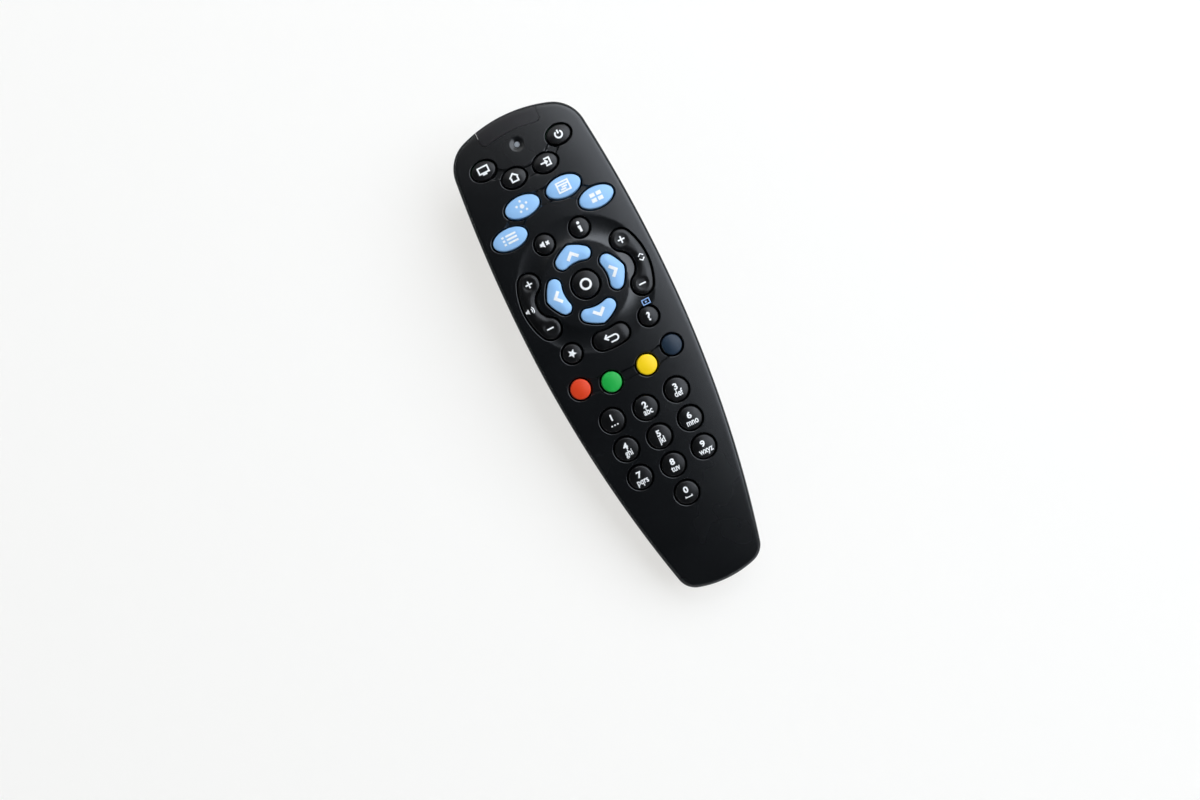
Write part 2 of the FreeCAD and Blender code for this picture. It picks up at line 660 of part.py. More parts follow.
def channel_list():
    """Plans of the channels that link the keys of the two upper rows and the colour row."""
    rows = [
        ((size.corner_oval_x, size.corner_oval_y), (size.inner_oval_x, size.inner_oval_y),
         size.top_channel, size.top_channel),
        ((size.wide_outer_x, size.wide_outer_y), (size.wide_inner_x, size.wide_inner_y),
         size.wide_channel, size.wide_channel),
        ((size.colour_outer_x, size.colour_outer_y), (size.colour_inner_x, size.colour_inner_y),
         size.colour_channel, size.colour_channel_mid),
    ]
    plans = []
    for (outer_x, outer_y), (inner_x, inner_y), side_waist, middle_waist in rows:
        inner_left = Vector(-inner_x, inner_y, 0)
        inner_right = Vector(inner_x, inner_y, 0)
        plans.append(channel(Vector(-outer_x, outer_y, 0), inner_left, side_waist))
        plans.append(channel(inner_left, inner_right, middle_waist))
        plans.append(channel(inner_right, Vector(outer_x, outer_y, 0), side_waist))
    return plans


def moat():
    """Dished ring round the navigation disc, square to the face there, its dish in four flats."""
    half = (size.moat_outer - size.moat_inner) / 2
    middle = (size.moat_outer + size.moat_inner) / 2
    steep = size.moat_depth * size.moat_shoulder / (half / 2)
    side = [
        (0.0, -size.moat_depth), (half / 2, -size.moat_depth * size.moat_shoulder),
        (half, 0.0), (half * 1.5, half / 2 * steep), (half * 1.5, size.moat_depth * 3),
    ]
    profile = side + [(-across, height) for across, height in reversed(side[1:])]
    points = [Vector(middle + across, 0, height) for across, height in profile]
    ring = Part.Face(Part.makePolygon(points + points[:1]))
    ring = ring.revolve(Vector(0, 0, 0), Vector(0, 0, 1), 360)
    fall = middle**2 / 4 * (1 / size.face_cross_radius + 1 / size.face_long_radius)
    ring.Placement = face_plane(0, size.nav_at, -fall)
    return feature("moat", ring)


def window_zone(grow):
    """Solid that takes the infrared window out of both shells."""
    head_centre = Vector(0, size.head_end - size.head_radius, 0)
    inner = size.head_radius - size.window_reach - grow
    half = size.window_half + grow
    corner = size.window_corner
    rise = sqrt((inner + corner) ** 2 - (half - corner) ** 2)
    edge_centre = Vector(half - corner, head_centre.y + rise, 0)
    low = touch(head_centre, inner, edge_centre)
    side = Vector(half, edge_centre.y, 0)
    middle = edge_centre + Vector(1, -1, 0).normalize() * corner
    far = Vector(half, FAR, 0)
    right = [
        arc(head_centre, Vector(0, head_centre.y + inner, 0), low, inner),
        Part.Arc(low, middle, side).toShape(),
        Part.LineSegment(side, far).toShape(),
        Part.LineSegment(far, Vector(0, FAR, 0)).toShape(),
    ]
    return prism(closed(mirrored(right)), -size.window_drop - grow, TALL)


def screw_places():
    """Where the board is screwed to the bosses of the face."""
    across = size.half_width - size.screw_edge
    return [
        Vector(-across, size.screw_head_y, 0),
        Vector(across, size.screw_head_y, 0),
        Vector(0, size.screw_tail_y, 0),
    ]


def post_places():
    """Where posts of the lower shell carry the board."""
    across = size.half_width - size.post_edge
    return [
        Vector(side * across, y, 0)
        for y in (size.post_head_y, size.post_tail_y)
        for side in (-1, 1)
    ]


def pillars(name, places, radius, bottom, tops):
    """Upright pins at several places, each to its own height."""
    solids = [
        prism(faceted(round_plan(radius, place)), bottom, top)
        for place, top in zip(places, tops)
    ]
    return feature(name, Part.makeCompound(solids))


def runs_round_face(edge):
    """True for the edges where the face meets the sides, not for lines down the sides."""
    start, end = (vertex.Point for vertex in edge.Vertexes)
    middle = edge.valueAt((edge.FirstParameter + edge.LastParameter) / 2)
    return min(start.z, end.z) > 1.0 and abs(start.x + end.x - 2 * middle.x) + abs(
        start.y + end.y - 2 * middle.y) > 1e-4


def runs_round_back(edge):
    """True for the edges where the flanks meet the back, not for lines across either."""
    start, end = (vertex.Point for vertex in edge.Vertexes)
    if max(start.z, end.z) > -1.0:
        return False
    middle = edge.valueAt((edge.FirstParameter + edge.LastParameter) / 2)
    return abs(start.y + end.y - 2 * middle.y) > 1e-6 or abs(start.x + end.x) > 1e-3


def room_under_face():
    """Inside of the upper shell, its ceiling in flats that touch a sunk copy of the face."""
    room = block(size.side_wall, -1, TALL / 2, size.side_draft)
    for row in range(-2, 3):
        for column in range(-1, 2):
            above = Part.makeBox(2 * FAR, 2 * FAR, FAR, Vector(-FAR, -FAR, 0))
            above.Placement = face_plane(
                column * size.ceiling_column, row * size.ceiling_row, -size.ceiling_depth
            )
            room = room.cut(above)
    return feature("upper_room", room)


def build_upper_shell():
    """Face and side walls, moulded in one: the case's most worked piece."""
    hull = common(
        "upper_sharp", feature("upper_block", block(0, 0, TALL / 2, size.side_draft)),
        crown("face_crown", "0"),
    )
    outer = soft_edge("upper_hull", hull, runs_round_face, size.rim_broad, size.rim_narrow)
    rebate_inset = size.side_wall - size.lip_thickness - size.seam_gap
    rebate_top = size.lip_height + size.seam_gap
    rebate = feature("lip_rebate", block(rebate_inset, -1, rebate_top, size.side_draft))
    wells = [prism(faceted(plan(size.key_gap)), -1, TALL) for _, plan, _ in key_list()]
    channels = Part.makeCompound([prism(faceted(plan), 0, TALL) for plan in channel_list()])
    hollow = (size.dimple_radius**2 + size.dimple_depth**2) / (2 * size.dimple_depth)
    point, normal = face_point(0, size.lamp_at)
    dimple = Part.makeSphere(hollow, point + normal * (hollow - size.dimple_depth))
    lamp = round_plan(size.lamp_radius + size.seam_gap, Vector(0, size.lamp_at, 0))
    shell = cut(
        "shell_blank", outer, room_under_face(), rebate, moat(),
        cut("channels", feature("channel_plans", channels),
            crown("channel_floor", "-sizes.channel_depth")),
        feature("dimple", dimple),
        feature("lamp_hole", prism(faceted(lamp), 0, TALL)),
        feature("window_cut", window_zone(size.seam_gap)),
    )
    places = screw_places()
    board_top = number(BOARD_TOP)
    roofs = [face_point(place.x, place.y)[0].z - size.face_wall for place in places]
    bosses = pillars(
        "bosses", places, size.boss_radius, board_top,
        [roof + size.face_wall / 2 for roof in roofs],
    )
    pilots = pillars("pilots", places, size.screw_radius, board_top, roofs)
    whole = cut(
        "bored_shell", fuse("shell_with_bosses", shell, bosses), pilots,
        feature("key_wells", Part.makeCompound(wells)),
    )
    return sub_part(whole, "upper_shell")


def rounded_path(corners):
    """Closed outline through corner points, each rounded by its own radius."""
    edges = []
    ends = []
    for place, (point, radius) in enumerate(corners):
        before = (corners[place - 1][0] - point).normalize()
        after = (corners[(place + 1) % len(corners)][0] - point).normalize()
        half_angle = before.getAngle(after) / 2
        trim = radius / tan(half_angle)
        start = point + before * trim
        end = point + after * trim
        if radius:
            centre = point + (before + after).normalize() * (radius / sin(half_angle))
            middle = centre + (point - centre).normalize() * radius
            edges.append(Part.Arc(start, middle, end).toShape())
        ends.append((start, end))
    for (_, start), (end, _) in zip(ends, ends[1:] + ends[:1]):
        edges.append(Part.LineSegment(start, end).toShape())
    return closed(edges)


def back_profile(inset=0.0):
    """Side view of the back as a slab: head, flat of the hump, finger scoop and tail."""
    over = 9.0
    beyond = 6.0
    hump_head = Vector(0, size.hump_head, table_height(size.hump_head))
    hump_tail = Vector(0, size.hump_tail, table_height(size.hump_tail))
    tail_rest = Vector(0, size.tail_rest_at, table_height(size.tail_rest_at) - size.tail_flat)
    head_slope = (size.head_low - hump_head.z) / (size.head_end - size.hump_head)
    tail_slope = (size.tail_low - tail_rest.z) / (size.tail_end + size.tail_rest_at)
    corners = [
        (Vector(0, size.head_end + beyond, over), 0),
        (Vector(0, size.head_end + beyond, size.head_low + beyond * head_slope), 0),
        (hump_head, size.head_round),
        (hump_tail, size.hump_round),
        (Vector(0, size.scoop_head, -size.scoop_depth), size.scoop_head_round),
        (Vector(0, size.scoop_tail, -size.scoop_depth), size.scoop_tail_round),
        (tail_rest, size.tail_round),
        (Vector(0, -size.tail_end - beyond, size.tail_low + beyond * tail_slope), 0),
        (Vector(0, -size.tail_end - beyond, over), 0),
    ]
    side_view = Part.Face(rounded_path(corners))
    if inset:
        side_view = Part.Face(side_view.makeOffset2D(-inset).Wires[0])
    side_view.translate(Vector(-FAR, 0, 0))
    return side_view.extrude(Vector(2 * FAR, 0, 0))


def build_lower_shell():
    """Back of the case: hump with the battery bay, finger scoop and tail."""
    deep = -TALL
    sharp = common(
        "lower_sharp", feature("lower_block", block(0, 0, deep, size.back_draft)),
        feature("back_side_view", back_profile()),
    )
    doc.recompute()
    round_back = [place for place, edge in enumerate(sharp.Shape.Edges, 1) if runs_round_back(edge)]
    outer = bevel("lower_hull", sharp, round_back, size.back_edge)
    room = common(
        "lower_room", feature("lower_room_block", block(size.side_wall, 1, deep, size.back_draft)),
        feature("back_side_view_inside", back_profile(size.back_wall)),
    )
    lip = block(size.side_wall - size.lip_thickness, -1, size.lip_height, 0).cut(
        block(size.side_wall, -2, size.lip_height + 1, 0)
    )
    places = post_places()
    posts = pillars("posts", places, size.post_radius, deep, [size.board_underside] * len(places))
    walls = fuse(
        "lower_walls", cut("lower_open", outer, room), feature("lip", lip),
        common("seated_posts", posts, outer),
    )
    leaned = lean(cut("lower_leaned", walls, feature("window_cut_low", window_zone(size.seam_gap))))

    gap = "sizes.cover_gap"
    seam = "sizes.seam_gap"
    wall = "sizes.bay_wall"
    bay = box(
        "bay_block", (f"-{BAY_HALF} - {wall}", f"{BAY_HALF} + {wall}"),
        (f"{BAY_TAIL} - {wall}", f"{BAY_HEAD} + {wall}"),
        ("sizes.back_wall / 2", f"{BAY_TOP} + {wall}"),
    )
    table = box(
        "below_table", (f"-{FAR}", f"{FAR}"), (f"-{FAR}", "sizes.scoop_tail"), (f"-{TALL}", "0")
    )
    bay_room = box(
        "bay_room", (f"-{BAY_HALF}", BAY_HALF), (BAY_TAIL, BAY_HEAD), (f"-{TALL}", BAY_TOP)
    )
    seat_half = f"(sizes.cover_half + {gap})"
    seat = box(
        "cover_seat", (f"-{seat_half}", seat_half), ("sizes.scoop_head", f"sizes.cover_head + {gap}"),
        (f"-{TALL}", f"{COVER_TOP} + {seam}"),
    )
    groove_half = f"({seat_half} + sizes.rail_reach)"
    groove = box(
        "rail_groove", (f"-{groove_half}", groove_half),
        ("sizes.scoop_head", f"sizes.rail_head + {gap}"),
        (f"{RAIL_BOTTOM} - {seam}", f"{COVER_TOP} + {seam}"),
    )
    tongue_half = f"(sizes.tongue_half + {gap})"
    tongue = box(
        "tongue_slot", (f"-{tongue_half}", tongue_half),
        ("sizes.cover_head", f"sizes.cover_head + sizes.tongue_reach + {gap}"),
        (f"{RAIL_BOTTOM} - {seam}", f"{COVER_TOP} + {seam}"),
    )
    slots = []
    for name, side in (("left", "-1"), ("right", "1")):
        middle = f"{side} * sizes.cell_pitch / 2"
        half = f"(sizes.tab_width / 2 + {gap})"
        slots.append(box(
            f"tab_slot_{name}", (f"{middle} - {half}", f"{middle} + {half}"),
            (f"{BAY_HEAD} - sizes.contact_sheet - {gap}", f"{BAY_HEAD}"),
            (f"{BAY_TOP} - 1", f"{BAY_TOP} + {wall} + 1"),
        ))
    shell = cut("bay_shell", fuse("lower_with_bay", leaned, bay), table, bay_room, seat, groove,
                tongue, *slots)
    return sub_part(shell, "lower_shell", in_case_frame=False)


def build_window():
    """Dark plastic window over the emitter, captured between the shells at the head."""
    outer = fuse("window_hull", doc.getObject("upper_hull"), doc.getObject("lower_hull"))
    zone = feature("window_zone", window_zone(0))
    room = common(
        "window_room",
        feature("window_room_block", block(size.side_wall, -TALL, TALL / 2, 0)),
        crown("window_under", "-sizes.face_wall"),
    )
    pane = cut("window_pane", common("window_solid", outer, zone), room)
    return sub_part(pane, "ir_window")


def sheet_body(label, inset, tail, head, bottom, thickness, holes=()):
    """Flat sheet with the case's outline drawn in, cut square at both ends and padded."""
    plan = Part.Face(outline(inset))
    plan = plan.common(Part.makePlane(2 * FAR, head - tail, Vector(-FAR, tail, 0)))
    body = doc.addObject("PartDesign::Body", f"{label}_body")
    sketch = body.newObject("Sketcher::SketchObject", f"{label}_sketch")
    plane = next(item for item in body.Origin.OriginFeatures if item.Role == "XY_Plane")
    sketch.AttachmentSupport = [(plane, "")]
    sketch.MapMode = "FlatFace"
    sketch.setExpression("AttachmentOffset.Base.z", bottom)
    for wire in [plan.Faces[0].OuterWire, *holes]:
        for edge in wire.Edges:
            start, end = (vertex.Point for vertex in edge.Vertexes)
            if isinstance(edge.Curve, Part.Circle):
                middle = edge.valueAt((edge.FirstParameter + edge.LastParameter) / 2)
                sketch.addGeometry(Part.Arc(start, middle, end), False)
            else:
                sketch.addGeometry(Part.LineSegment(start, end), False)
    pad = body.newObject("PartDesign::Pad", f"{label}_pad")
    pad.Profile = sketch
    pad.setExpression("Length", thickness)
    return sub_part(body, label)


def build_board():
    holes = [
        faceted(round_plan(size.screw_radius + size.seam_gap, place)) for place in screw_places()
    ]
    return sheet_body(
        "circuit_board", size.board_inset, size.board_tail, size.board_head,
        "sizes.board_underside", "sizes.board_thickness", holes,
    )


def build_mat():
    """Base sheet of the keypad, with a hole round each boss that it reaches."""
    clear = size.boss_radius + size.cover_gap
    holes = [
        faceted(round_plan(clear, place)) for place in screw_places()
        if size.mat_tail < place.y - clear and place.y + clear < size.mat_head
    ]
    return sheet_body(
        "keypad_mat", size.mat_inset, size.mat_tail, size.mat_head,
        BOARD_TOP, "sizes.mat_thickness", holes,
    )


def under_face(name, centre):
    """Block below the plane that touches the keys' raised copy of the face at a point."""
    obj = doc.addObject("Part::Box", name)
    obj.Length = TALL
    obj.Width = TALL
    obj.Height = TALL
    corner = Placement(Vector(-TALL / 2, -TALL / 2, -TALL), Rotation())
    obj.Placement = face_plane(centre.x, centre.y, size.key_proud).multiply(corner)
    return obj


def build_keys():
    """One cap for each key. A rocker's top follows the face, and it has a rib to tilt on."""
    raised_face = crown("key_crown", "sizes.key_proud")
    bottom = number(CAP_BOTTOM)
    for label, plan, centre in key_list():
        stem = feature(f"{label}_stem", prism(faceted(plan()), bottom, TALL / 2))
        if label not in ("key_channel", "key_volume"):
            sub_part(common(f"{label}_cap", stem, under_face(f"{label}_top", centre)), label)
            continue
        cap = common(f"{label}_cap", stem, raised_face)
        rib = doc.addObject("Part::Cylinder", f"{label}_rib")
        bind(rib, Radius="sizes.rocker_rib", Height="sizes.rocker_rib_long")
        rib.Placement = Placement(
            Vector(centre.x - size.rocker_rib_long / 2, centre.y, 0),
            Rotation(Vector(0, 1, 0), 90),
        )
        rib.setExpression("Placement.Base.z", RIB_AXIS)
        sub_part(fuse(f"{label}_whole", cap, rib), label)


def build_screws():
    """Self-tapping screws that hold the board to the face's bosses."""
    solids = []
    for place in screw_places():
        end = face_point(place.x, place.y)[0].z - size.face_wall - size.screw_spare
        shank = prism(faceted(round_plan(size.screw_radius, place)), size.board_underside, end)
        cap = prism(
            faceted(round_plan(size.screw_cap, place)),
            size.board_underside - size.screw_cap_high, size.board_underside,
        )
        solids.append(shank.fuse(cap).removeSplitter())
    return sub_part(feature("screw_set", Part.makeCompound(solids)), "board_screws")


def turned_part(name, kind, start, length, **radii):
    """Cylinder or cone with its axis along +Y, its sizes bound to expressions."""
    obj = doc.addObject(kind, name)
    bind(obj, Height=length, **radii)
    obj.Placement = Placement(Vector(0, 0, 0), Rotation(Vector(1, 0, 0), -90))
    for axis, expression in zip("xyz", start):
        obj.setExpression(f"Placement.Base.{axis}", expression)
    return obj


def build_emitter():
    """Infrared emitter at the head: flange, barrel and tapered nose, with two leads."""
    back = "(sizes.board_head + sizes.emitter_gap)"
    front = "(sizes.head_end - sizes.side_wall - sizes.emitter_gap)"
    nose = "(sizes.emitter_radius - sizes.emitter_nose)"
    axis = "sizes.emitter_axis"
    flange = turned_part(
        "emitter_flange", "Part::Cylinder", ("0", back, axis), "sizes.emitter_flange_long",
        Radius="sizes.emitter_flange",
    )
    barrel = turned_part(
        "emitter_barrel", "Part::Cylinder", ("0", back, axis), f"{front} - {nose} - {back}",
        Radius="sizes.emitter_radius",
    )
    tip = turned_part(
        "emitter_tip", "Part::Cone", ("0", f"{front} - {nose}", axis), nose,
        Radius1="sizes.emitter_radius", Radius2="sizes.emitter_nose",
    )
    leads = []
    for name, side in (("left", "-1"), ("right", "1")):
        middle = f"{side} * sizes.emitter_pitch / 2"
        leads.append(box(
            f"emitter_lead_{name}",
            (f"{middle} - sizes.lead_width / 2", f"{middle} + sizes.lead_width / 2"),
            ("sizes.board_head - 4", f"{back} + sizes.emitter_flange_long / 2"),
            ("sizes.board_underside - sizes.contact_sheet", "sizes.board_underside"),
        ))
    return sub_part(fuse("emitter_whole", flange, barrel, tip, *leads), "ir_emitter")


def build_lamp():
    """Indicator lamp on the board, its end at the bottom of the dimple."""
    half = "sizes.lamp_foot / 2"
    foot = box(
        "lamp_foot", (f"-{half}", half), (f"sizes.lamp_at - {half}", f"sizes.lamp_at + {half}"),
        (BOARD_TOP, f"{BOARD_TOP} + sizes.lamp_foot_high"),
    )
    top = face_point(0, size.lamp_at)[0].z - size.dimple_depth
    pipe = prism(
        faceted(round_plan(size.lamp_radius, Vector(0, size.lamp_at, 0))), number(BOARD_TOP), top
    )
    return sub_part(fuse("lamp_whole", foot, feature("lamp_pipe", pipe)), "indicator_lamp")


def build_chip():
    """Controller chip under the board, with its leads."""
    top = "(sizes.board_underside - sizes.seam_gap)"
    half = "sizes.chip_wide / 2"
    body = box(
        "chip_body", (f"-{half}", half),
        ("sizes.chip_at - sizes.chip_long / 2", "sizes.chip_at + sizes.chip_long / 2"),
        (f"{top} - sizes.chip_high", top),
    )
    leads = []
    reach = size.chip_wide / 2 + size.lead_reach
    count = int(size.lead_count)
    for place in range(count):
        y = size.chip_at + (place - (count - 1) / 2) * size.lead_pitch - size.lead_width / 2
        leads.append(Part.makeBox(
            2 * reach, size.lead_width, size.lead_sheet,
            Vector(-reach, y, size.board_underside - size.lead_sheet),
        ))
    comb = feature("chip_leads", Part.makeCompound(leads))
    return sub_part(fuse("chip_whole", body, comb), "controller_chip")


def build_small_parts():
    """Resonator and capacitor, both under the board."""
    half = "(sizes.resonator_long / 2)"
    side = "(sizes.resonator_wide / 2)"
    flange = "sizes.resonator_flange"
    can = box(
        "resonator_can", (f"-{half}", half),
        (f"sizes.resonator_at - {side}", f"sizes.resonator_at + {side}"),
        ("sizes.board_underside - sizes.resonator_high", "sizes.board_underside"),
    )
    rim = box(
        "resonator_rim", (f"-{half} - {flange}", f"{half} + {flange}"),
        (f"sizes.resonator_at - {side} - {flange}", f"sizes.resonator_at + {side} + {flange}"),
        (f"sizes.board_underside - {flange}", "sizes.board_underside"),
    )
    sub_part(fuse("resonator_whole", can, rim), "resonator")
    start = "(sizes.resonator_at - sizes.capacitor_length / 2)"
    end = f"({start} + sizes.capacitor_length)"
    axis = "(sizes.board_underside - sizes.capacitor_radius)"
    pieces = [turned_part(
        "capacitor_can", "Part::Cylinder", ("sizes.capacitor_x", start, axis),
        "sizes.capacitor_length", Radius="sizes.capacitor_radius",
    )]
    for name, hand in (("left", "-1"), ("right", "1")):
        middle = f"(sizes.capacitor_x + {hand} * sizes.capacitor_radius / 2)"
        pieces.append(box(
            f"capacitor_lead_{name}",
            (f"{middle} - sizes.lead_width / 2", f"{middle} + sizes.lead_width / 2"),
            (end, f"{end} + sizes.lead_width"), (axis, "sizes.board_underside"),
        ))
    sub_part(fuse("capacitor_whole", *pieces), "capacitor")


def build_cells():
    """Two cells side by side, nose to tail: the left one's nub is at the head end."""
    tail = "(sizes.cells_middle - sizes.cell_length / 2)"
    for label, side, can_start in (
        ("battery_cell_left", "-1", tail),
        ("battery_cell_right", "1", f"{tail} + sizes.nub_length"),
    ):
        x = f"{side} * sizes.cell_pitch / 2"
        can = turned_part(
            f"{label}_can", "Part::Cylinder", (x, can_start, CELL_AXIS),
            "sizes.cell_length - sizes.nub_length", Radius="sizes.cell_diameter / 2",
        )
        nub = turned_part(
            f"{label}_nub", "Part::Cylinder", (x, tail, CELL_AXIS), "sizes.cell_length",
            Radius="sizes.nub_radius",
        )
        sub_part(fuse(f"{label}_whole", can, nub), label, in_case_frame=False)


def contact_front(name, x, wall, direction, is_leaf):
    """What meets a cell: a leaf bent out of the plate, or a pressed step for a nub."""
    half_width = size.leaf_width / 2 if is_leaf else size.cup_side / 2
    half_height = size.contact_high / 2 if is_leaf else size.cup_side / 2
    crest = size.leaf_crest / 2 if is_leaf else half_height
    reach = direction * (size.contact_room - size.contact_gap)
    sheet = direction * size.contact_sheet if is_leaf else reach
    axis = number(CELL_AXIS)
    outer = [(0, -half_height), (reach, -crest), (reach, crest), (0, half_height)]
    inner = [(0, half_height - abs(sheet)), (reach - sheet, crest - abs(sheet) / 2),
             (reach - sheet, abs(sheet) / 2 - crest), (0, abs(sheet) - half_height)]
    corners = outer + inner if is_leaf else outer
    points = [Vector(x - half_width, wall + y, axis + z) for y, z in corners]
    side_view = Part.Face(Part.makePolygon(points + points[:1]))
    return feature(name, side_view.extrude(Vector(2 * half_width, 0, 0)))


def build_contacts():
    """Pressed metal contacts: a bridge at the tail end, a pair with solder tabs at the head."""
    half_high = "sizes.contact_high / 2"
    height = (f"{CELL_AXIS} - {half_high}", f"{CELL_AXIS} + {half_high}")
    reach = "(sizes.cell_pitch / 2 + sizes.contact_width / 2)"
    tail_wall = number(BAY_TAIL)
    head_wall = number(BAY_HEAD)
    pitch = size.cell_pitch / 2
    bridge = box(
        "bridge_plate", (f"-{reach}", reach), (BAY_TAIL, f"{BAY_TAIL} + sizes.contact_sheet"), height
    )
    bridge = fuse(
        "bridge_whole", bridge,
        contact_front("bridge_leaf", -pitch, tail_wall, 1, True),
        contact_front("bridge_step", pitch, tail_wall, 1, False),
    )
    sub_part(bridge, "contact_bridge", in_case_frame=False)
    # The tabs end just under the board, whose underside leans over the bay
    tab_top = (
        f"sizes.case_lift + {BAY_HEAD} * sin(sizes.case_tilt * 1 deg)"
        " + sizes.board_underside * cos(sizes.case_tilt * 1 deg) - sizes.seam_gap"
    )
    for label, side, is_leaf in (("contact_positive", "-1", False), ("contact_negative", "1", True)):
        middle = f"{side} * sizes.cell_pitch / 2"
        plate = box(
            f"{label}_plate",
            (f"{middle} - sizes.contact_width / 2", f"{middle} + sizes.contact_width / 2"),
            (f"{BAY_HEAD} - sizes.contact_sheet", BAY_HEAD), height,
        )
        tab = box(
            f"{label}_tab",
            (f"{middle} - sizes.tab_width / 2", f"{middle} + sizes.tab_width / 2"),
            (f"{BAY_HEAD} - sizes.contact_sheet", BAY_HEAD), (CELL_AXIS, tab_top),
        )
        front = contact_front(f"{label}_front", number(middle), head_wall, -1, is_leaf)
        sub_part(fuse(f"{label}_whole", plate, tab, front), label, in_case_frame=False)


def rectangle_sketch(body, name, x, y, z):
    """Sketch of a rectangle between expressions, on the body's own ground plane raised to z."""
    sketch = body.newObject("Sketcher::SketchObject", name)
    plane = next(item for item in body.Origin.OriginFeatures if item.Role == "XY_Plane")
    sketch.AttachmentSupport = [(plane, "")]
    sketch.MapMode = "FlatFace"
    sketch.setExpression("AttachmentOffset.Base.z", z)
    x0, x1 = (number(limit) for limit in x)
    y0, y1 = (number(limit) for limit in y)
    corners = [Vector(x0, y0, 0), Vector(x1, y0, 0), Vector(x1, y1, 0), Vector(x0, y1, 0)]
    for start, end in zip(corners, corners[1:] + corners[:1]):
        sketch.addGeometry(Part.LineSegment(start, end), False)
    return sketch


def pad_rectangle(body, name, x, y, z, height):
    pad = body.newObject("PartDesign::Pad", name)
    pad.Profile = rectangle_sketch(body, f"{name}_sketch", x, y, z)
    pad.setExpression("Length", height)
    return pad


def build_cover():
    """Sliding battery cover: plate, side rails, a tongue and a grooved thumb grip."""
    body = doc.addObject("PartDesign::Body", "cover_body")
    plate = pad_rectangle(
        body, "cover_plate", ("-sizes.cover_half", "sizes.cover_half"),
        ("sizes.cover_tail", "sizes.cover_head"), "sizes.cover_recess", "sizes.cover_thickness",
    )
    doc.recompute()
    upright = [
        f"Edge{place}" for place, edge in enumerate(plate.Shape.Edges, 1)
        if abs(edge.tangentAt(edge.FirstParameter).z) > 0.5
    ]
    corners = body.newObject("PartDesign::Fillet", "cover_corners")
    corners.Base = (plate, upright)
    corners.setExpression("Radius", "sizes.cover_corner")
    rail_half = "(sizes.cover_half + sizes.rail_reach)"
    pad_rectangle(
        body, "cover_rails", (f"-{rail_half}", rail_half), ("sizes.rail_tail", "sizes.rail_head"),
        RAIL_BOTTOM, "sizes.rail_height",
    )
    pad_rectangle(
        body, "cover_tongue", ("-sizes.tongue_half", "sizes.tongue_half"),
        ("sizes.cover_head - sizes.tongue_reach", "sizes.cover_head + sizes.tongue_reach"),
        RAIL_BOTTOM, "sizes.rail_height",
    )
    doc.recompute()
    before = body.Shape.Volume
    first = "(sizes.grip_at - (sizes.grip_count - 1) / 2 * sizes.grip_pitch)"
    groove = body.newObject("PartDesign::Pocket", "grip_groove")
    groove.Profile = rectangle_sketch(
        body, "grip_sketch", ("-sizes.grip_half", "sizes.grip_half"),
        (f"{first} - sizes.grip_groove / 2", f"{first} + sizes.grip_groove / 2"),
        "sizes.cover_recess + sizes.grip_depth",
    )
    groove.setExpression("Length", "sizes.grip_depth * 2")
    doc.recompute()
    if body.Shape.Volume >= before:
        raise RuntimeError("The grip's groove missed the cover")
    grooves = body.newObject("PartDesign::LinearPattern", "grip_grooves")
    grooves.Originals = [groove]
    along = next(item for item in body.Origin.OriginFeatures if item.Role == "Y_Axis")
    grooves.Direction = (along, [""])
    grooves.setExpression("Length", "sizes.grip_pitch * (sizes.grip_count - 1)")
    grooves.setExpression("Occurrences", "sizes.grip_count")
    body.Tip = grooves
    return sub_part(body, "battery_cover", in_case_frame=False)


build_upper_shell()
build_lower_shell()
doc.recompute()
build_window()
build_board()
build_mat()
build_keys()
build_screws()
build_emitter()
build_lamp()
build_chip()
build_small_parts()
build_cells()
build_contacts()
build_cover()
doc.recompute()

for obj in doc.Objects:
    if "Invalid" in obj.State or "Error" in obj.State:
        raise RuntimeError(f"{obj.Label} did not recompute: {obj.State}")
for obj in sub_parts:
    if obj.Shape.isNull() or not obj.Shape.isValid():
        raise RuntimeError(f"{obj.Label} has no valid shape")

os.makedirs("parts", exist_ok=True)
for obj in sub_parts:
    obj.Shape.exportStep(f"parts/{obj.Label}.step")
    print(obj.Label, len(obj.Shape.Solids), round(obj.Shape.Volume, 1))
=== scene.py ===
"""Visual model of a handheld remote control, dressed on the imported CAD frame.

Lengths are in millimetres in the case frame: its origin is on the parting line between the two
shells, Z is square to the circuit board, Y runs to the head and X to the right. The case leans
a few degrees on the table, so every mesh is turned into the row frame, in metres, when it is made.
"""
import json
import logging
import math
from collections.abc import Callable, Iterable, Sequence
from dataclasses import dataclass, field
from enum import Enum

import bmesh
import bpy
import numpy as np
from mathutils import Euler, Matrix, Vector
from mathutils.geometry import delaunay_2d_cdt


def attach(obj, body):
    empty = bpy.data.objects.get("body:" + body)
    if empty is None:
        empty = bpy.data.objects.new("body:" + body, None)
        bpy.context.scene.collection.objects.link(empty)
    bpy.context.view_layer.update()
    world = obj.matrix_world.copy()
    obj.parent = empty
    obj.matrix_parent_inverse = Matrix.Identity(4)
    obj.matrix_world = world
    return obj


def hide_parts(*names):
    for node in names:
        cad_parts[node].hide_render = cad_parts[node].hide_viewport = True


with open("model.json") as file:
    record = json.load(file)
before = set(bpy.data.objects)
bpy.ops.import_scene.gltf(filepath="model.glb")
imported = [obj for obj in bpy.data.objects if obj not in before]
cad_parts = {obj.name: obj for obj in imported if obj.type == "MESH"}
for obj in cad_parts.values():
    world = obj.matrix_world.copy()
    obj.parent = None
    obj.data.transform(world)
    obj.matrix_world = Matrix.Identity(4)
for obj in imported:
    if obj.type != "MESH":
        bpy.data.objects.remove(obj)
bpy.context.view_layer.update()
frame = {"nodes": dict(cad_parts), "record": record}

MM = 0.001

Height = Callable[[np.ndarray], np.ndarray]


# Shape of the case, shared by its pieces


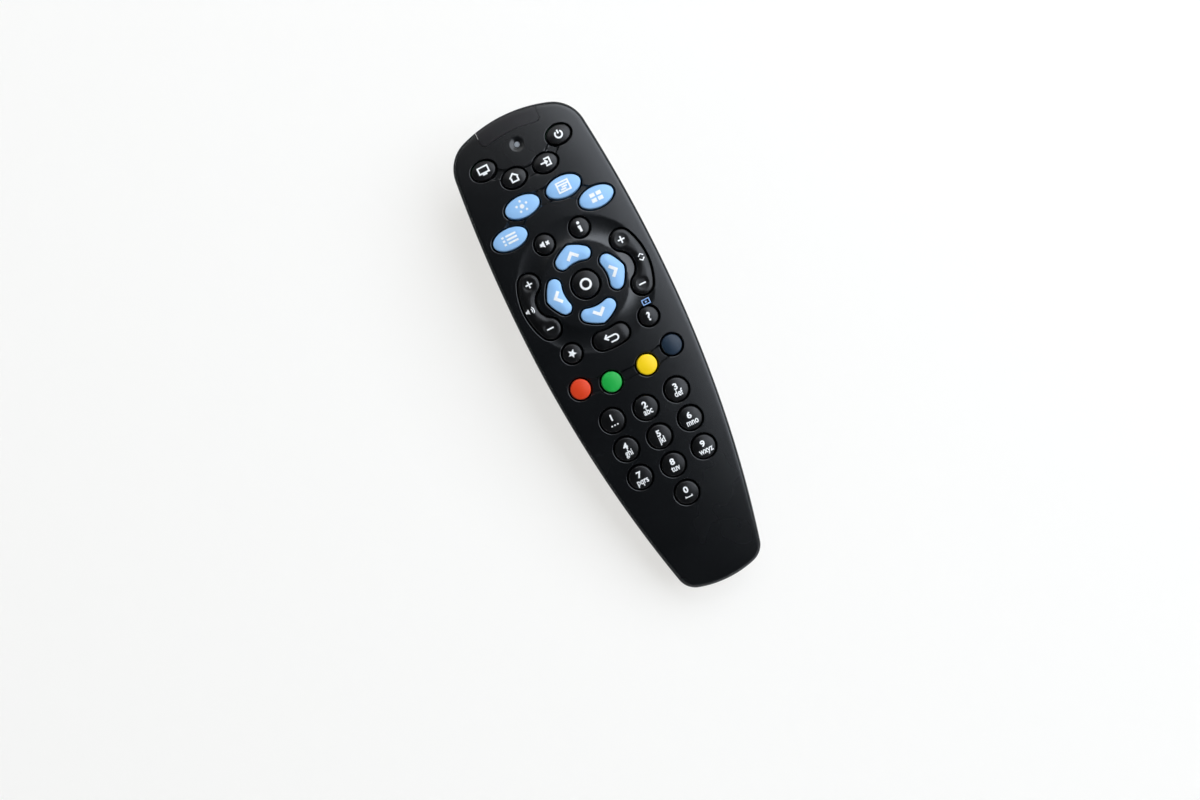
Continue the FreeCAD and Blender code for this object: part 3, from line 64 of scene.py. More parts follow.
@dataclass(frozen=True)
class Lean:
    """How the case lies: a turn about X and a lift, from the case frame to the row frame."""

    angle: float = math.radians(4.0)
    lift: float = 17.2

    def to_row(self, points: np.ndarray) -> np.ndarray:
        """Turns case points in millimetres into row points in metres.

        Args:
            points: Array of shape (n, 3) in the case frame.

        Returns:
            Array of shape (n, 3) in the row frame.
        """
        cosine, sine = math.cos(self.angle), math.sin(self.angle)
        x, y, z = points[:, 0], points[:, 1], points[:, 2]
        row = np.column_stack((x, y * cosine - z * sine, self.lift + y * sine + z * cosine))
        return row * MM

    def table_height(self, along: float | np.ndarray) -> float | np.ndarray:
        """Height of the table in the case frame at places along the case."""
        return -(self.lift + along * math.sin(self.angle)) / math.cos(self.angle)


LEAN = Lean()


@dataclass
class Loop:
    """Closed plan curve as points with outward normals, anticlockwise."""

    points: np.ndarray
    normals: np.ndarray

    def grown(self, amount: float) -> np.ndarray:
        """The curve moved out by an amount, or in where that is negative."""
        return self.points + self.normals * amount

    def moved(self, centre: Sequence[float], turn: float = 0.0) -> "Loop":
        """The curve turned about the origin by degrees, then moved.

        Args:
            centre: Where the origin goes.
            turn: Turn in degrees, anticlockwise.

        Returns:
            The moved curve.
        """
        angle = math.radians(turn)
        matrix = np.array(
            [[math.cos(angle), math.sin(angle)], [-math.sin(angle), math.cos(angle)]]
        )
        return Loop(self.points @ matrix + np.array(centre), self.normals @ matrix)


def arc(
    centre: Sequence[float], radius: float, start: float, end: float, step: float,
    hollow: bool = False,
) -> Loop:
    """Points along an arc, without its last one.

    Args:
        centre: Middle of the arc.
        radius: Its radius.
        start: Angle of its first point, in radians.
        end: Angle of its last point, in radians.
        step: Longest distance between two points.
        hollow: True where the material lies outside the arc.

    Returns:
        The arc as an open piece of a loop.
    """
    count = max(3, math.ceil(abs(end - start) * radius / step), math.ceil(abs(end - start) / 0.2))
    angles = start + (end - start) * np.arange(count) / count
    unit = np.column_stack((np.cos(angles), np.sin(angles)))
    return Loop(np.array(centre) + unit * radius, -unit if hollow else unit)


def join(pieces: Iterable[Loop]) -> Loop:
    """One loop from arcs that follow each other."""
    pieces = list(pieces)
    return Loop(np.vstack([piece.points for piece in pieces]),
                np.vstack([piece.normals for piece in pieces]))


def meet(
    first: np.ndarray, first_radius: float, second: np.ndarray, second_radius: float, side: int
) -> np.ndarray:
    """One of the two points at given distances from two centres.

    Args:
        first: First centre.
        first_radius: Distance from it.
        second: Second centre.
        second_radius: Distance from that.
        side: 1 for the point to the left of the way between them, -1 for the right.

    Returns:
        The point.
    """
    across = second - first
    distance = float(np.hypot(*across))
    along = (distance**2 + first_radius**2 - second_radius**2) / (2 * distance)
    off = math.sqrt(first_radius**2 - along**2)
    unit = across / distance
    return first + unit * along + np.array((-unit[1], unit[0])) * off * side


def heading(vector: np.ndarray) -> float:
    """Angle of a plan vector from +X, in radians."""
    return math.atan2(vector[1], vector[0])


def mirror_half(half: Loop) -> Loop:
    """Closes a half curve that starts and ends on x = 0 with its mirror image."""
    flip = np.array((-1.0, 1.0))
    return Loop(np.vstack((half.points, (half.points * flip)[:0:-1])),
                np.vstack((half.normals, (half.normals * flip)[:0:-1])))


@dataclass(frozen=True)
class CaseShape:
    """Outline, crowned face and back of the case."""

    head_end: float = 100.0
    tail_end: float = 100.0
    half_width: float = 30.85
    widest_at: float = 22.0
    side_head_radius: float = 575.0
    side_tail_radius: float = 510.0
    head_radius: float = 56.0
    head_corner: float = 13.8
    tail_radius: float = 42.0
    tail_corner: float = 8.6
    side_draft: float = math.tan(math.radians(3.0))
    crown_height: float = 10.2
    crown_at: float = 5.0
    face_long_radius: float = 800.0
    face_cross_radius: float = 320.0
    step: float = 1.1

    def outline(self) -> Loop:
        """Plan outline at the parting line, from the tail's tip round the right side."""
        head = np.array((0.0, self.head_end - self.head_radius))
        tail = np.array((0.0, self.tail_radius - self.tail_end))
        side_head = np.array((self.half_width - self.side_head_radius, self.widest_at))
        side_tail = np.array((self.half_width - self.side_tail_radius, self.widest_at))
        head_corner = meet(
            head, self.head_radius - self.head_corner,
            side_head, self.side_head_radius - self.head_corner, -1,
        )
        tail_corner = meet(
            tail, self.tail_radius - self.tail_corner,
            side_tail, self.side_tail_radius - self.tail_corner, 1,
        )
        stops = [
            (tail, self.tail_radius, -math.pi / 2, heading(tail_corner - tail)),
            (tail_corner, self.tail_corner, heading(tail_corner - tail),
             heading(tail_corner - side_tail)),
            (side_tail, self.side_tail_radius, heading(tail_corner - side_tail), 0.0),
            (side_head, self.side_head_radius, 0.0, heading(head_corner - side_head)),
            (head_corner, self.head_corner, heading(head_corner - side_head),
             heading(head_corner - head)),
            (head, self.head_radius, heading(head_corner - head), math.pi / 2),
        ]
        half = join(arc(*stop, self.step) for stop in stops)
        tip = Loop(np.array([[0.0, self.head_end]]), np.array([[0.0, 1.0]]))
        return mirror_half(join((half, tip)))

    def crown(self, plan: np.ndarray) -> np.ndarray:
        """Height of the face over plan points, before anything is hollowed out of it.

        Args:
            plan: Array of shape (n, 2).

        Returns:
            Array of n heights.
        """
        across = np.sqrt(self.face_cross_radius**2 - plan[:, 0] ** 2)
        ring = self.face_long_radius - self.face_cross_radius + across
        along = np.sqrt(ring**2 - (plan[:, 1] - self.crown_at) ** 2)
        return self.crown_height - self.face_long_radius + along


CASE = CaseShape()


@dataclass(frozen=True)
class BackShape:
    """Side view of the back: head, flat of the battery hump, finger scoop and tail."""

    draft: float = math.tan(math.radians(10.0))
    edge_round: float = 4.6
    round_steps: int = 9
    corners: tuple[tuple[str, float, float | None, float], ...] = (
        ("head_end", 106.0, None, 0.0),
        ("hump_head", 87.0, None, 16.0),
        ("hump_tail", 5.0, None, 26.0),
        ("scoop_head", -30.0, -7.4, 40.0),
        ("scoop_tail", -56.0, -7.4, 64.0),
        ("tail_rest", -88.0, None, 14.0),
        ("tail_end", -106.0, None, 0.0),
    )
    head_low: float = -7.0
    tail_low: float = -4.0
    tail_flat: float = 1.0

    def corner_points(self) -> list[tuple[np.ndarray, float]]:
        """Corners of the side view as (along, height) points with their radii."""
        known = {name: [along, height] for name, along, height, _ in self.corners}
        for name in ("hump_head", "hump_tail"):
            known[name][1] = LEAN.table_height(known[name][0])
        known["tail_rest"][1] = LEAN.table_height(known["tail_rest"][0]) - self.tail_flat
        hump, rest = known["hump_head"], known["tail_rest"]
        head_slope = (self.head_low - hump[1]) / (CASE.head_end - hump[0])
        tail_slope = (self.tail_low - rest[1]) / (CASE.tail_end + rest[0])
        known["head_end"][1] = self.head_low + (known["head_end"][0] - CASE.head_end) * head_slope
        known["tail_end"][1] = self.tail_low - (CASE.tail_end + known["tail_end"][0]) * tail_slope
        return [(np.array(known[name]), radius) for name, _, _, radius in self.corners]

    def profile(self, inset: float) -> np.ndarray:
        """Side view as a line of points from the tail to the head, drawn in by inset.

        Args:
            inset: How far the line is drawn in.

        Returns:
            Array of shape (n, 2) of places along the case and heights.
        """
        corners = self.corner_points()
        path: list[np.ndarray] = []
        for place, (corner, radius) in enumerate(corners):
            if radius == 0.0:
                path.append(corner)
                continue
            before = corners[place - 1][0] - corner
            after = corners[place + 1][0] - corner
            before = before / np.hypot(*before)
            after = after / np.hypot(*after)
            half = math.acos(float(before @ after)) / 2
            middle = before + after
            centre = corner + middle / np.hypot(*middle) * radius / math.sin(half)
            start = corner + before * radius / math.tan(half) - centre
            end = corner + after * radius / math.tan(half) - centre
            turn = math.pi - 2 * half
            sense = 1.0 if start[0] * end[1] - start[1] * end[0] > 0 else -1.0
            for share in np.linspace(0, 1, self.round_steps):
                angle = sense * turn * share
                cosine, sine = math.cos(angle), math.sin(angle)
                spoke = (start[0] * cosine - start[1] * sine, start[0] * sine + start[1] * cosine)
                path.append(centre + np.array(spoke))
        line = np.array(path)[::-1]
        run = np.gradient(line, axis=0)
        run = run / np.hypot(run[:, 0], run[:, 1])[:, None]
        return line + np.column_stack((-run[:, 1], run[:, 0])) * inset

    def floor(self, along: np.ndarray, inset: float = 0.0) -> np.ndarray:
        """Lowest height of the back at places along it, never below the table."""
        line = self.profile(inset)
        height = np.interp(along, line[:, 0], line[:, 1])
        return np.maximum(height, LEAN.table_height(along) + inset)


BACK = BackShape()


def smooth_step(value: np.ndarray) -> np.ndarray:
    """Zero below 0, one above 1, and a soft S between."""
    value = np.clip(value, 0.0, 1.0)
    return value * value * (3 - 2 * value)


def dish(off: np.ndarray, half: float, depth: float) -> np.ndarray:
    """Depth of a dish whose section is an arc.

    Args:
        off: Distances from the middle of the dish.
        half: Half its width.
        depth: Its depth in the middle.

    Returns:
        Depth at each distance, which is 0 beyond the dish.
    """
    curve = (half**2 + depth**2) / (2 * depth)
    off = np.clip(off, 0, half)
    return np.sqrt(curve**2 - off**2) - (curve - depth)


# Keys

# Turn of each arrow key about the disc's centre, in degrees from +Y
ARROW_TURNS = {"key_up": 0, "key_left": 90, "key_down": 180, "key_right": 270}


class KeyColour(Enum):
    """Finish of a key."""

    BLACK = "key_black"
    PALE_BLUE = "key_pale_blue"
    RED = "key_red"
    GREEN = "key_green"
    YELLOW = "key_yellow"
    DARK_BLUE = "key_dark_blue"


@dataclass(frozen=True)
class KeyPlan:
    """One key: where it is, its plan curve, its finish and how far in its dome still rises."""

    name: str
    centre: tuple[float, float]
    loop: Loop
    colour: KeyColour = KeyColour.BLACK
    reach: float = 4.0


@dataclass(frozen=True)
class KeyLayout:
    """Plan sizes of the keys, as in the CAD model's sheet."""

    nav_at: float = 28.5
    digit_key: float = 4.6
    digit_column: float = 13.6
    digit_row: float = -22.6
    digit_pitch: float = 12.3
    digit_dip: float = 1.1
    colour_key: float = 3.95
    colour_outer: tuple[float, float] = (19.4, -6.4)
    colour_inner: tuple[float, float] = (7.5, -9.05)
    round_key: float = 3.7
    upper_pair: tuple[float, float] = (7.35, 48.75)
    lower_pair: tuple[float, float] = (16.2, 7.2)
    select_key: float = 5.25
    corner_oval: tuple[float, float] = (15.75, 83.8)
    inner_oval: tuple[float, float] = (6.55, 76.2)
    small_oval: tuple[float, float] = (4.75, 3.55)
    wide_inner: tuple[float, float] = (8.65, 65.2)
    wide_outer: tuple[float, float] = (18.15, 56.3)
    wide_oval: tuple[float, float] = (6.95, 4.0)
    arrow_tip: float = 16.05
    arrow_back: float = 9.15
    arrow_half: float = 7.1
    arrow_shoulder_at: float = 10.95
    arrow_tip_round: float = 1.7
    arrow_shoulder_round: float = 2.55
    arrow_side_radius: float = 18.0
    arrow_reach: float = 3.3
    rocker_path: float = 21.5
    rocker_end: float = 4.05
    rocker_inner: float = 20.55
    rocker_span: float = math.radians(25.3)
    rocker_neck: float = 6.0
    rocker_reach: float = 2.4
    rocker_middle: float = 23.05
    bean_path: float = 22.4
    bean_end: float = 3.5
    bean_span: float = math.radians(9.6)
    step: float = 0.32
    round_points: int = 64
    wide_points: int = 80
    wide_from: float = 6.0

    def ellipse(self, long_half: float, short_half: float) -> Loop:
        """Ellipse about the origin, or a circle where both halves are equal.

        Args:
            long_half: Half its length along X.
            short_half: Half its length along Y.

        Returns:
            The closed curve.
        """
        count = self.round_points if long_half < self.wide_from else self.wide_points
        angles = np.arange(count) * 2 * math.pi / count
        points = np.column_stack((np.cos(angles) * long_half, np.sin(angles) * short_half))
        normals = np.column_stack((np.cos(angles) / long_half, np.sin(angles) / short_half))
        return Loop(points, normals / np.hypot(normals[:, 0], normals[:, 1])[:, None])

    def arrow(self) -> Loop:
        """Rounded triangle with bowed sides, its tip towards +Y from the disc's centre."""
        tip = np.array((0.0, self.arrow_tip - self.arrow_tip_round))
        shoulder = np.array((self.arrow_half - self.arrow_shoulder_round, self.arrow_shoulder_at))
        side = meet(
            tip, self.arrow_side_radius - self.arrow_tip_round,
            shoulder, self.arrow_side_radius - self.arrow_shoulder_round, -1,
        )
        rise = self.arrow_shoulder_at - self.arrow_back
        back_radius = (shoulder[0] ** 2 + rise**2 - self.arrow_shoulder_round**2) / (
            2 * (self.arrow_shoulder_round - rise)
        )
        back = np.array((0.0, self.arrow_back - back_radius))
        back_turn = heading(shoulder - back)
        half = join((
            arc(back, back_radius, math.pi / 2, back_turn, self.step, hollow=True),
            arc(shoulder, self.arrow_shoulder_round, back_turn - math.pi,
                heading(shoulder - side), self.step),
            arc(side, self.arrow_side_radius, heading(shoulder - side), heading(tip - side),
                self.step),
            arc(tip, self.arrow_tip_round, heading(tip - side), math.pi / 2, self.step),
            Loop(np.array([[0.0, self.arrow_tip]]), np.array([[0.0, 1.0]])),
        ))
        return mirror_half(half)

    def rocker(self) -> Loop:
        """Kidney on the +X side of the disc: two full ends joined by a thinner arc."""
        origin = np.zeros(2)
        span = self.rocker_span
        end = self.rocker_path * np.array((math.cos(span), math.sin(span)))
        neck = meet(origin, self.rocker_inner - self.rocker_neck,
                    end, self.rocker_end + self.rocker_neck, -1)
        neck_start = heading(end - neck)
        inward = neck_start + math.pi
        half = join((
            arc(origin, self.rocker_path + self.rocker_end, 0.0, span, self.step),
            arc(end, self.rocker_end, span, inward, self.step),
            arc(neck, self.rocker_neck, neck_start, heading(neck), self.step, hollow=True),
            arc(origin, self.rocker_inner, heading(neck), 0.0, self.step, hollow=True),
            Loop(np.array([[self.rocker_inner, 0.0]]), np.array([[-1.0, 0.0]])),
        ))
        flip = np.array((1.0, -1.0))
        lower = Loop((half.points * flip)[-2:0:-1], (half.normals * flip)[-2:0:-1])
        return join((half, lower))

    def bean(self) -> Loop:
        """Short arc slot below the disc, bent round it."""
        down = -math.pi / 2
        right, left = down + self.bean_span, down - self.bean_span
        outer, inner = self.bean_path + self.bean_end, self.bean_path - self.bean_end
        ends = [self.bean_path * np.array((math.cos(a), math.sin(a))) for a in (right, left)]
        return join((
            arc((0.0, 0.0), outer, left, right, self.step),
            arc(ends[0], self.bean_end, right, right + math.pi, self.step),
            arc((0.0, 0.0), inner, right, left, self.step, hollow=True),
            arc(ends[1], self.bean_end, left + math.pi, left + 2 * math.pi, self.step),
        ))

    def keys(self) -> list[KeyPlan]:
        """Every key of the remote."""
        keys: list[KeyPlan] = []

        def add(name: str, centre: Sequence[float], half: Sequence[float],
                colour: KeyColour) -> None:
            """Adds an oval or round key."""
            loop = self.ellipse(*half).moved(centre)
            keys.append(KeyPlan(name, tuple(centre), loop, colour, half[1]))

        def pair(names: Sequence[str], centre: Sequence[float], half: Sequence[float],
                 colours: Sequence[KeyColour]) -> None:
            """Adds two keys, one on each side."""
            for name, side, colour in zip(names, (-1, 1), colours):
                add(name, (side * centre[0], centre[1]), half, colour)

        black = (KeyColour.BLACK, KeyColour.BLACK)
        pale = (KeyColour.PALE_BLUE, KeyColour.PALE_BLUE)
        round_half = (self.round_key, self.round_key)
        colour_half = (self.colour_key, self.colour_key)
        pair(("key_screen", "key_power"), self.corner_oval, self.small_oval, black)
        pair(("key_home", "key_inputs"), self.inner_oval, self.small_oval, black)
        pair(("key_featured", "key_planner"), self.wide_inner, self.wide_oval, pale)
        pair(("key_guide", "key_extras"), self.wide_outer, self.wide_oval, pale)
        pair(("key_mute", "key_info"), self.upper_pair, round_half, black)
        pair(("key_favourites", "key_help"), self.lower_pair, round_half, black)
        pair(("key_red", "key_blue"), self.colour_outer, colour_half,
             (KeyColour.RED, KeyColour.DARK_BLUE))
        pair(("key_green", "key_yellow"), self.colour_inner, colour_half,
             (KeyColour.GREEN, KeyColour.YELLOW))
        nav = (0.0, self.nav_at)
        add("key_select", nav, (self.select_key, self.select_key), KeyColour.BLACK)
        for name, turn in ARROW_TURNS.items():
            angle = math.radians(turn + 90)
            middle = (self.arrow_tip + self.arrow_back) / 2
            centre = (middle * math.cos(angle), self.nav_at + middle * math.sin(angle))
            loop = self.arrow().moved(nav, turn)
            keys.append(KeyPlan(name, centre, loop, KeyColour.PALE_BLUE, self.arrow_reach))
        for name, turn in (("channel", 0), ("volume", 180)):
            side = 1 - turn / 90
            centre = (side * self.rocker_middle, self.nav_at)
            keys.append(KeyPlan(f"key_{name}", centre, self.rocker().moved(nav, turn),
                                KeyColour.BLACK, self.rocker_reach))
        keys.append(KeyPlan("key_back", (0.0, self.nav_at - self.bean_path),
                            self.bean().moved(nav), KeyColour.BLACK, self.bean_end))
        for digit in range(10):
            column = (digit - 1) % 3 - 1 if digit else 0
            row = (digit - 1) // 3 if digit else 3
            dip = self.digit_dip if column == 0 else 0.0
            y = self.digit_row - row * self.digit_pitch - dip
            add(f"key_{digit}", (column * self.digit_column, y),
                (self.digit_key, self.digit_key), KeyColour.BLACK)
        return keys


LAYOUT = KeyLayout()
KEYS = LAYOUT.keys()


# The worked face


@dataclass(frozen=True)
class FaceRelief:
    """What is hollowed out of the crowned face: moat, channels and lamp dimple."""

    moat_inner: float = 16.6
    moat_outer: float = 26.2
    moat_depth: float = 0.6
    channel_depth: float = 0.95
    channel_flare: float = 1.0
    channel_blend: float = 0.7
    row_pitch: float = 0.5
    row_shares: tuple[float, ...] = (-0.85, -0.5, -0.17, 0.17, 0.5, 0.85)
    oval_waist: float = 4.0
    wide_waist: float = 5.8
    colour_waists: tuple[float, float] = (5.6, 3.4)
    dimple_radius: float = 2.5
    dimple_depth: float = 0.9
    lamp_at: float = 87.4

    def moat(self, plan: np.ndarray) -> np.ndarray:
        """Depth of the dished ring round the navigation disc.

        Args:
            plan: Array of shape (n, 2).

        Returns:
            Array of n depths.
        """
        from_centre = np.hypot(plan[:, 0], plan[:, 1] - LAYOUT.nav_at)
        middle = (self.moat_inner + self.moat_outer) / 2
        half = (self.moat_outer - self.moat_inner) / 2
        return dish(np.abs(from_centre - middle), half, self.moat_depth)

    def channels(self) -> list[tuple[np.ndarray, np.ndarray, float, float]]:
        """Start, direction, length and waist of each channel that links two keys."""
        rows = (
            (LAYOUT.corner_oval, LAYOUT.inner_oval, self.oval_waist, self.oval_waist),
            (LAYOUT.wide_outer, LAYOUT.wide_inner, self.wide_waist, self.wide_waist),
            (LAYOUT.colour_outer, LAYOUT.colour_inner, *self.colour_waists),
        )
        found = []
        for outer, inner, side, middle in rows:
            stops = [np.array(stop) for stop in (
                (-outer[0], outer[1]), (-inner[0], inner[1]), inner, outer)]
            for start, end, waist in zip(stops, stops[1:], (side, middle, side)):
                length = float(np.hypot(*(end - start)))
                found.append((start, (end - start) / length, length, waist))
        return found

    def channel_half(self, waist: float, along: np.ndarray, length: float) -> np.ndarray:
        """Half width of a channel at places along it, least in its middle."""
        return waist / 2 + self.channel_flare * (2 * along / length - 1) ** 2

    def channel_hollow(self, plan: np.ndarray) -> np.ndarray:
        """Depth of the channels, with softly rounded borders.

        Args:
            plan: Array of shape (n, 2).

        Returns:
            Array of n depths.
        """
        depth = np.zeros(len(plan))
        for start, unit, length, waist in self.channels():
            local = plan - start
            along = np.clip(local @ unit, 0, length)
            across = np.abs(local @ np.array((-unit[1], unit[0])))
            beyond = np.abs(local @ unit - along)
            half = self.channel_half(waist, along, length)
            inside = (half - across - beyond + self.channel_blend / 2) / self.channel_blend
            depth = np.maximum(depth, self.channel_depth * smooth_step(inside))
        return depth

    def channel_rows(self) -> np.ndarray:
        """Points in rows along the borders of the channels, which the mesh follows."""
        rows = []
        for start, unit, length, waist in self.channels():
            side = np.array((-unit[1], unit[0]))
            along = np.linspace(0, length, int(length / self.row_pitch) + 1)
            half = self.channel_half(waist, along, length)
            for share in self.row_shares:
                across = (half + share * self.channel_blend)[:, None]
                for sign in (-1, 1):
                    rows.append(start + along[:, None] * unit + sign * across * side)
        return np.vstack(rows)

    def dimple(self, plan: np.ndarray) -> np.ndarray:
        """Depth of the round dimple that the lamp stands in."""
        from_lamp = np.hypot(plan[:, 0], plan[:, 1] - self.lamp_at)
        return dish(from_lamp, self.dimple_radius, self.dimple_depth)

    def top(self, plan: np.ndarray) -> np.ndarray:
        """Height of the finished face over plan points."""
        return CASE.crown(plan) - self.moat(plan) - self.channel_hollow(plan) - self.dimple(plan)


RELIEF = FaceRelief()


# Meshes


def inside_loop(points: np.ndarray, loop: np.ndarray) -> np.ndarray:
    """Tells which plan points lie inside a closed curve.

    Args:
        points: Array of shape (n, 2).
        loop: Array of shape (m, 2).

    Returns:
        Array of n truth values.
    """
    x, y = points[:, 0][:, None], points[:, 1][:, None]
    ax, ay = loop[:, 0], loop[:, 1]
    bx, by = np.roll(ax, -1), np.roll(ay, -1)
    spans = (ay > y) != (by > y)
    rise = np.where(by == ay, 1.0, by - ay)
    crossing = ax + (y - ay) * (bx - ax) / rise
    return (np.count_nonzero(spans & (x < crossing), axis=1) % 2).astype(bool)


def nearest(points: np.ndarray, loop: np.ndarray) -> np.ndarray:
    """Distance from each point to the nearest point of a curve.

    Args:
        points: Array of shape (n, 2).
        loop: Array of shape (m, 2).

    Returns:
        Array of n distances.
    """
    found = np.empty(len(points))
    block = 4000
    for start in range(0, len(points), block):
        part = points[start:start + block]
        gap = part[:, None, :] - loop[None, :, :]
        found[start:start + block] = np.sqrt((gap**2).sum(axis=2).min(axis=1))
    return found


def grid(low: Sequence[float], high: Sequence[float], pitch: float) -> np.ndarray:
    """Staggered grid of plan points.

    Args:
        low: Least X and Y.
        high: Greatest X and Y.
        pitch: Distance between neighbours.

    Returns:
        Array of shape (n, 2).
    """
    rows = np.arange(low[1], high[1], pitch * math.sqrt(3) / 2)
    columns = np.arange(low[0], high[0], pitch)
    points = [
        np.column_stack((columns + (pitch / 2 if place % 2 else 0.0), np.full(len(columns), y)))
        for place, y in enumerate(rows)
    ]
    return np.vstack(points)


def inner_grid(border: np.ndarray, pitch: float, clear: float) -> np.ndarray:
    """Staggered grid of plan points inside a curve, clear of it by a distance.

    Args:
        border: The closed curve.
        pitch: Distance between neighbours.
        clear: Least distance from the curve's points.

    Returns:
        Array of shape (n, 2).
    """
    points = grid(border.min(axis=0), border.max(axis=0), pitch)
    points = points[inside_loop(points, border)]
    return points[nearest(points, border) > clear]


def fill(
    border: np.ndarray, holes: Sequence[np.ndarray], inner: np.ndarray
) -> tuple[np.ndarray, np.ndarray]:
    """Triangles between a border and its holes, through inner points.

    Args:
        border: Outer curve, anticlockwise.
        holes: Curves that are left open.
        inner: More points to pass through, already clear of the curves.

    Returns:
        Plan points, the curves' own first and in order, and triangles as rows of indices.
    """
    loops = [border, *holes]
    points = np.vstack([*loops, inner])
    edges = []
    start = 0
    for loop in loops:
        count = len(loop)
        edges += [(start + place, start + (place + 1) % count) for place in range(count)]
        start += count
    result = delaunay_2d_cdt([Vector(point) for point in points], edges, [], 0, 1e-7)
    found = np.array([tuple(vertex) for vertex in result[0]])
    place = np.array([sources[0] if sources else -1 for sources in result[3]])
    triangles = np.array([face for face in result[2] if len(face) == 3])
    middle = found[triangles].mean(axis=1)
    keep = inside_loop(middle, border)
    for hole in holes:
        near = (np.abs(middle - hole.mean(axis=0)).max(axis=1)) < np.ptp(hole, axis=0).max()
        inside = np.zeros(len(middle), bool)
        inside[near] = inside_loop(middle[near], hole)
        keep &= ~inside
    triangles = place[triangles[keep]]
    a, b, c = (points[triangles[:, corner]] for corner in range(3))
    turn = (b[:, 0] - a[:, 0]) * (c[:, 1] - a[:, 1]) - (b[:, 1] - a[:, 1]) * (c[:, 0] - a[:, 0])
    triangles[turn < 0] = triangles[turn < 0][:, ::-1]
    return points, triangles


@dataclass
class Solid:
    """Mesh under construction: vertices in millimetres and faces."""

    vertices: list[np.ndarray] = field(default_factory=list)
    faces: list[tuple[int, ...]] = field(default_factory=list)
    count: int = 0

    def add(self, points: np.ndarray) -> np.ndarray:
        """Adds points and returns their indices.

        Args:
            points: Array of shape (n, 3).

        Returns:
            Array of n indices.
        """
        self.vertices.append(np.asarray(points, float))
        first = self.count
        self.count += len(points)
        return np.arange(first, self.count)

    def triangles(self, rows: np.ndarray, flip: bool = False) -> None:
        """Adds triangles given by vertex indices."""
        self.faces += [tuple(row[::-1]) if flip else tuple(row) for row in rows.tolist()]

    def band(self, lower: np.ndarray, upper: np.ndarray) -> None:
        """Adds quads between two rings, facing out where the rings run anticlockwise."""
        around, above = np.roll(lower, -1), np.roll(upper, -1)
        self.faces += list(zip(lower.tolist(), around.tolist(), above.tolist(), upper.tolist()))

    def bands(self, rings: Sequence[np.ndarray], flip: bool = False) -> None:
        """Adds a band between each two rings that follow each other."""
        for first, second in zip(rings, rings[1:]):
            self.band(*((second, first) if flip else (first, second)))

    def close(self, ring: np.ndarray, flip: bool = False) -> None:
        """Closes a ring with one flat face."""
        self.faces.append(tuple((ring[::-1] if flip else ring).tolist()))

    def prism(self, plan: np.ndarray, low: float, high: float) -> None:
        """Adds an upright block over a plan curve.

        Args:
            plan: Plan points, anticlockwise.
            low: Height of its foot.
            high: Height of its top.
        """
        lower = self.add(plan3(plan, low))
        upper = self.add(plan3(plan, high))
        self.band(lower, upper)
        self.close(lower, flip=True)
        self.close(upper)

    def cover(self, rings: Sequence[np.ndarray], inner: np.ndarray, height: Height,
              flip: bool = False) -> None:
        """Spans a ring with triangles that follow a height.

        Args:
            rings: Indices of the border's points, then those of each ring that stays open.
            inner: Plan points to pass through, clear of the rings.
            height: Gives the height over plan points.
            flip: True where the triangles look down.
        """
        made = np.vstack(self.vertices)[:, :2]
        border, *holes = (made[ring] for ring in rings)
        plan, rows = fill(border, holes, inner)
        known = np.concatenate(rings)
        free = plan[len(known):]
        index = np.concatenate((known, self.add(plan3(free, height(free)))))
        self.triangles(index[rows], flip)

    def mesh(self, name: str, in_case: bool = True) -> bpy.types.Object:
        """Makes the Blender object, in the row frame.

        Args:
            name: Name of the piece.
            in_case: False where the points are already in the table frame.

        Returns:
            The linked object.
        """
        points = np.vstack(self.vertices)
        row = LEAN.to_row(points) if in_case else points * MM
        data = bpy.data.meshes.new(name)
        data.from_pydata(row.tolist(), [], self.faces)
        data.validate()
        return link(name, data)


def link(name: str, data: bpy.types.ID) -> bpy.types.Object:
    """Puts data in the scene as an object at the origin."""
    obj = bpy.data.objects.new(name, data)
    bpy.context.scene.collection.objects.link(obj)
    return obj


def shade(obj: bpy.types.Object, crease: float = 40.0) -> bpy.types.Object:
    """Shades a mesh smooth, with sharp edges above a crease angle in degrees."""
    obj.data.shade_smooth()
    obj.data.set_sharp_from_angle(angle=math.radians(crease))
    return obj


def plan3(plan: np.ndarray, height: np.ndarray | float) -> np.ndarray:
    """Plan points with heights."""
    return np.column_stack((plan, np.broadcast_to(height, len(plan))))


def evaluated(obj: bpy.types.Object, name: str) -> bpy.types.Object:
    """Replaces an object by the plain mesh that its modifiers make.

    Args:
        obj: Object with modifiers, which is removed.
        name: Name of the new object.

    Returns:
        The new object, at the origin.
    """
    depsgraph = bpy.context.evaluated_depsgraph_get()
    data = bpy.data.meshes.new_from_object(obj.evaluated_get(depsgraph))
    old = obj.data
    bpy.data.objects.remove(obj)
    if isinstance(old, bpy.types.Mesh) and old.users == 0:
        bpy.data.meshes.remove(old)
    data.name = name
    return link(name, data)


def carve(
    obj: bpy.types.Object, other: bpy.types.Object, operation: str, keep: bool = False
) -> bpy.types.Object:
    """Exact boolean of two closed meshes.

    Args:
        obj: Mesh that is changed.
        other: Mesh that it is combined with.
        operation: DIFFERENCE, UNION or INTERSECT.
        keep: True to leave the second mesh in the scene.

    Returns:
        The new object under the first one's name.
    """
    modifier = obj.modifiers.new("carve", "BOOLEAN")
    modifier.operation = operation
    modifier.solver = "EXACT"
    modifier.object = other
    name = obj.name
    obj.name = f"{name}_before"
    result = evaluated(obj, name)
    if not keep:
        bpy.data.objects.remove(other)
    return result


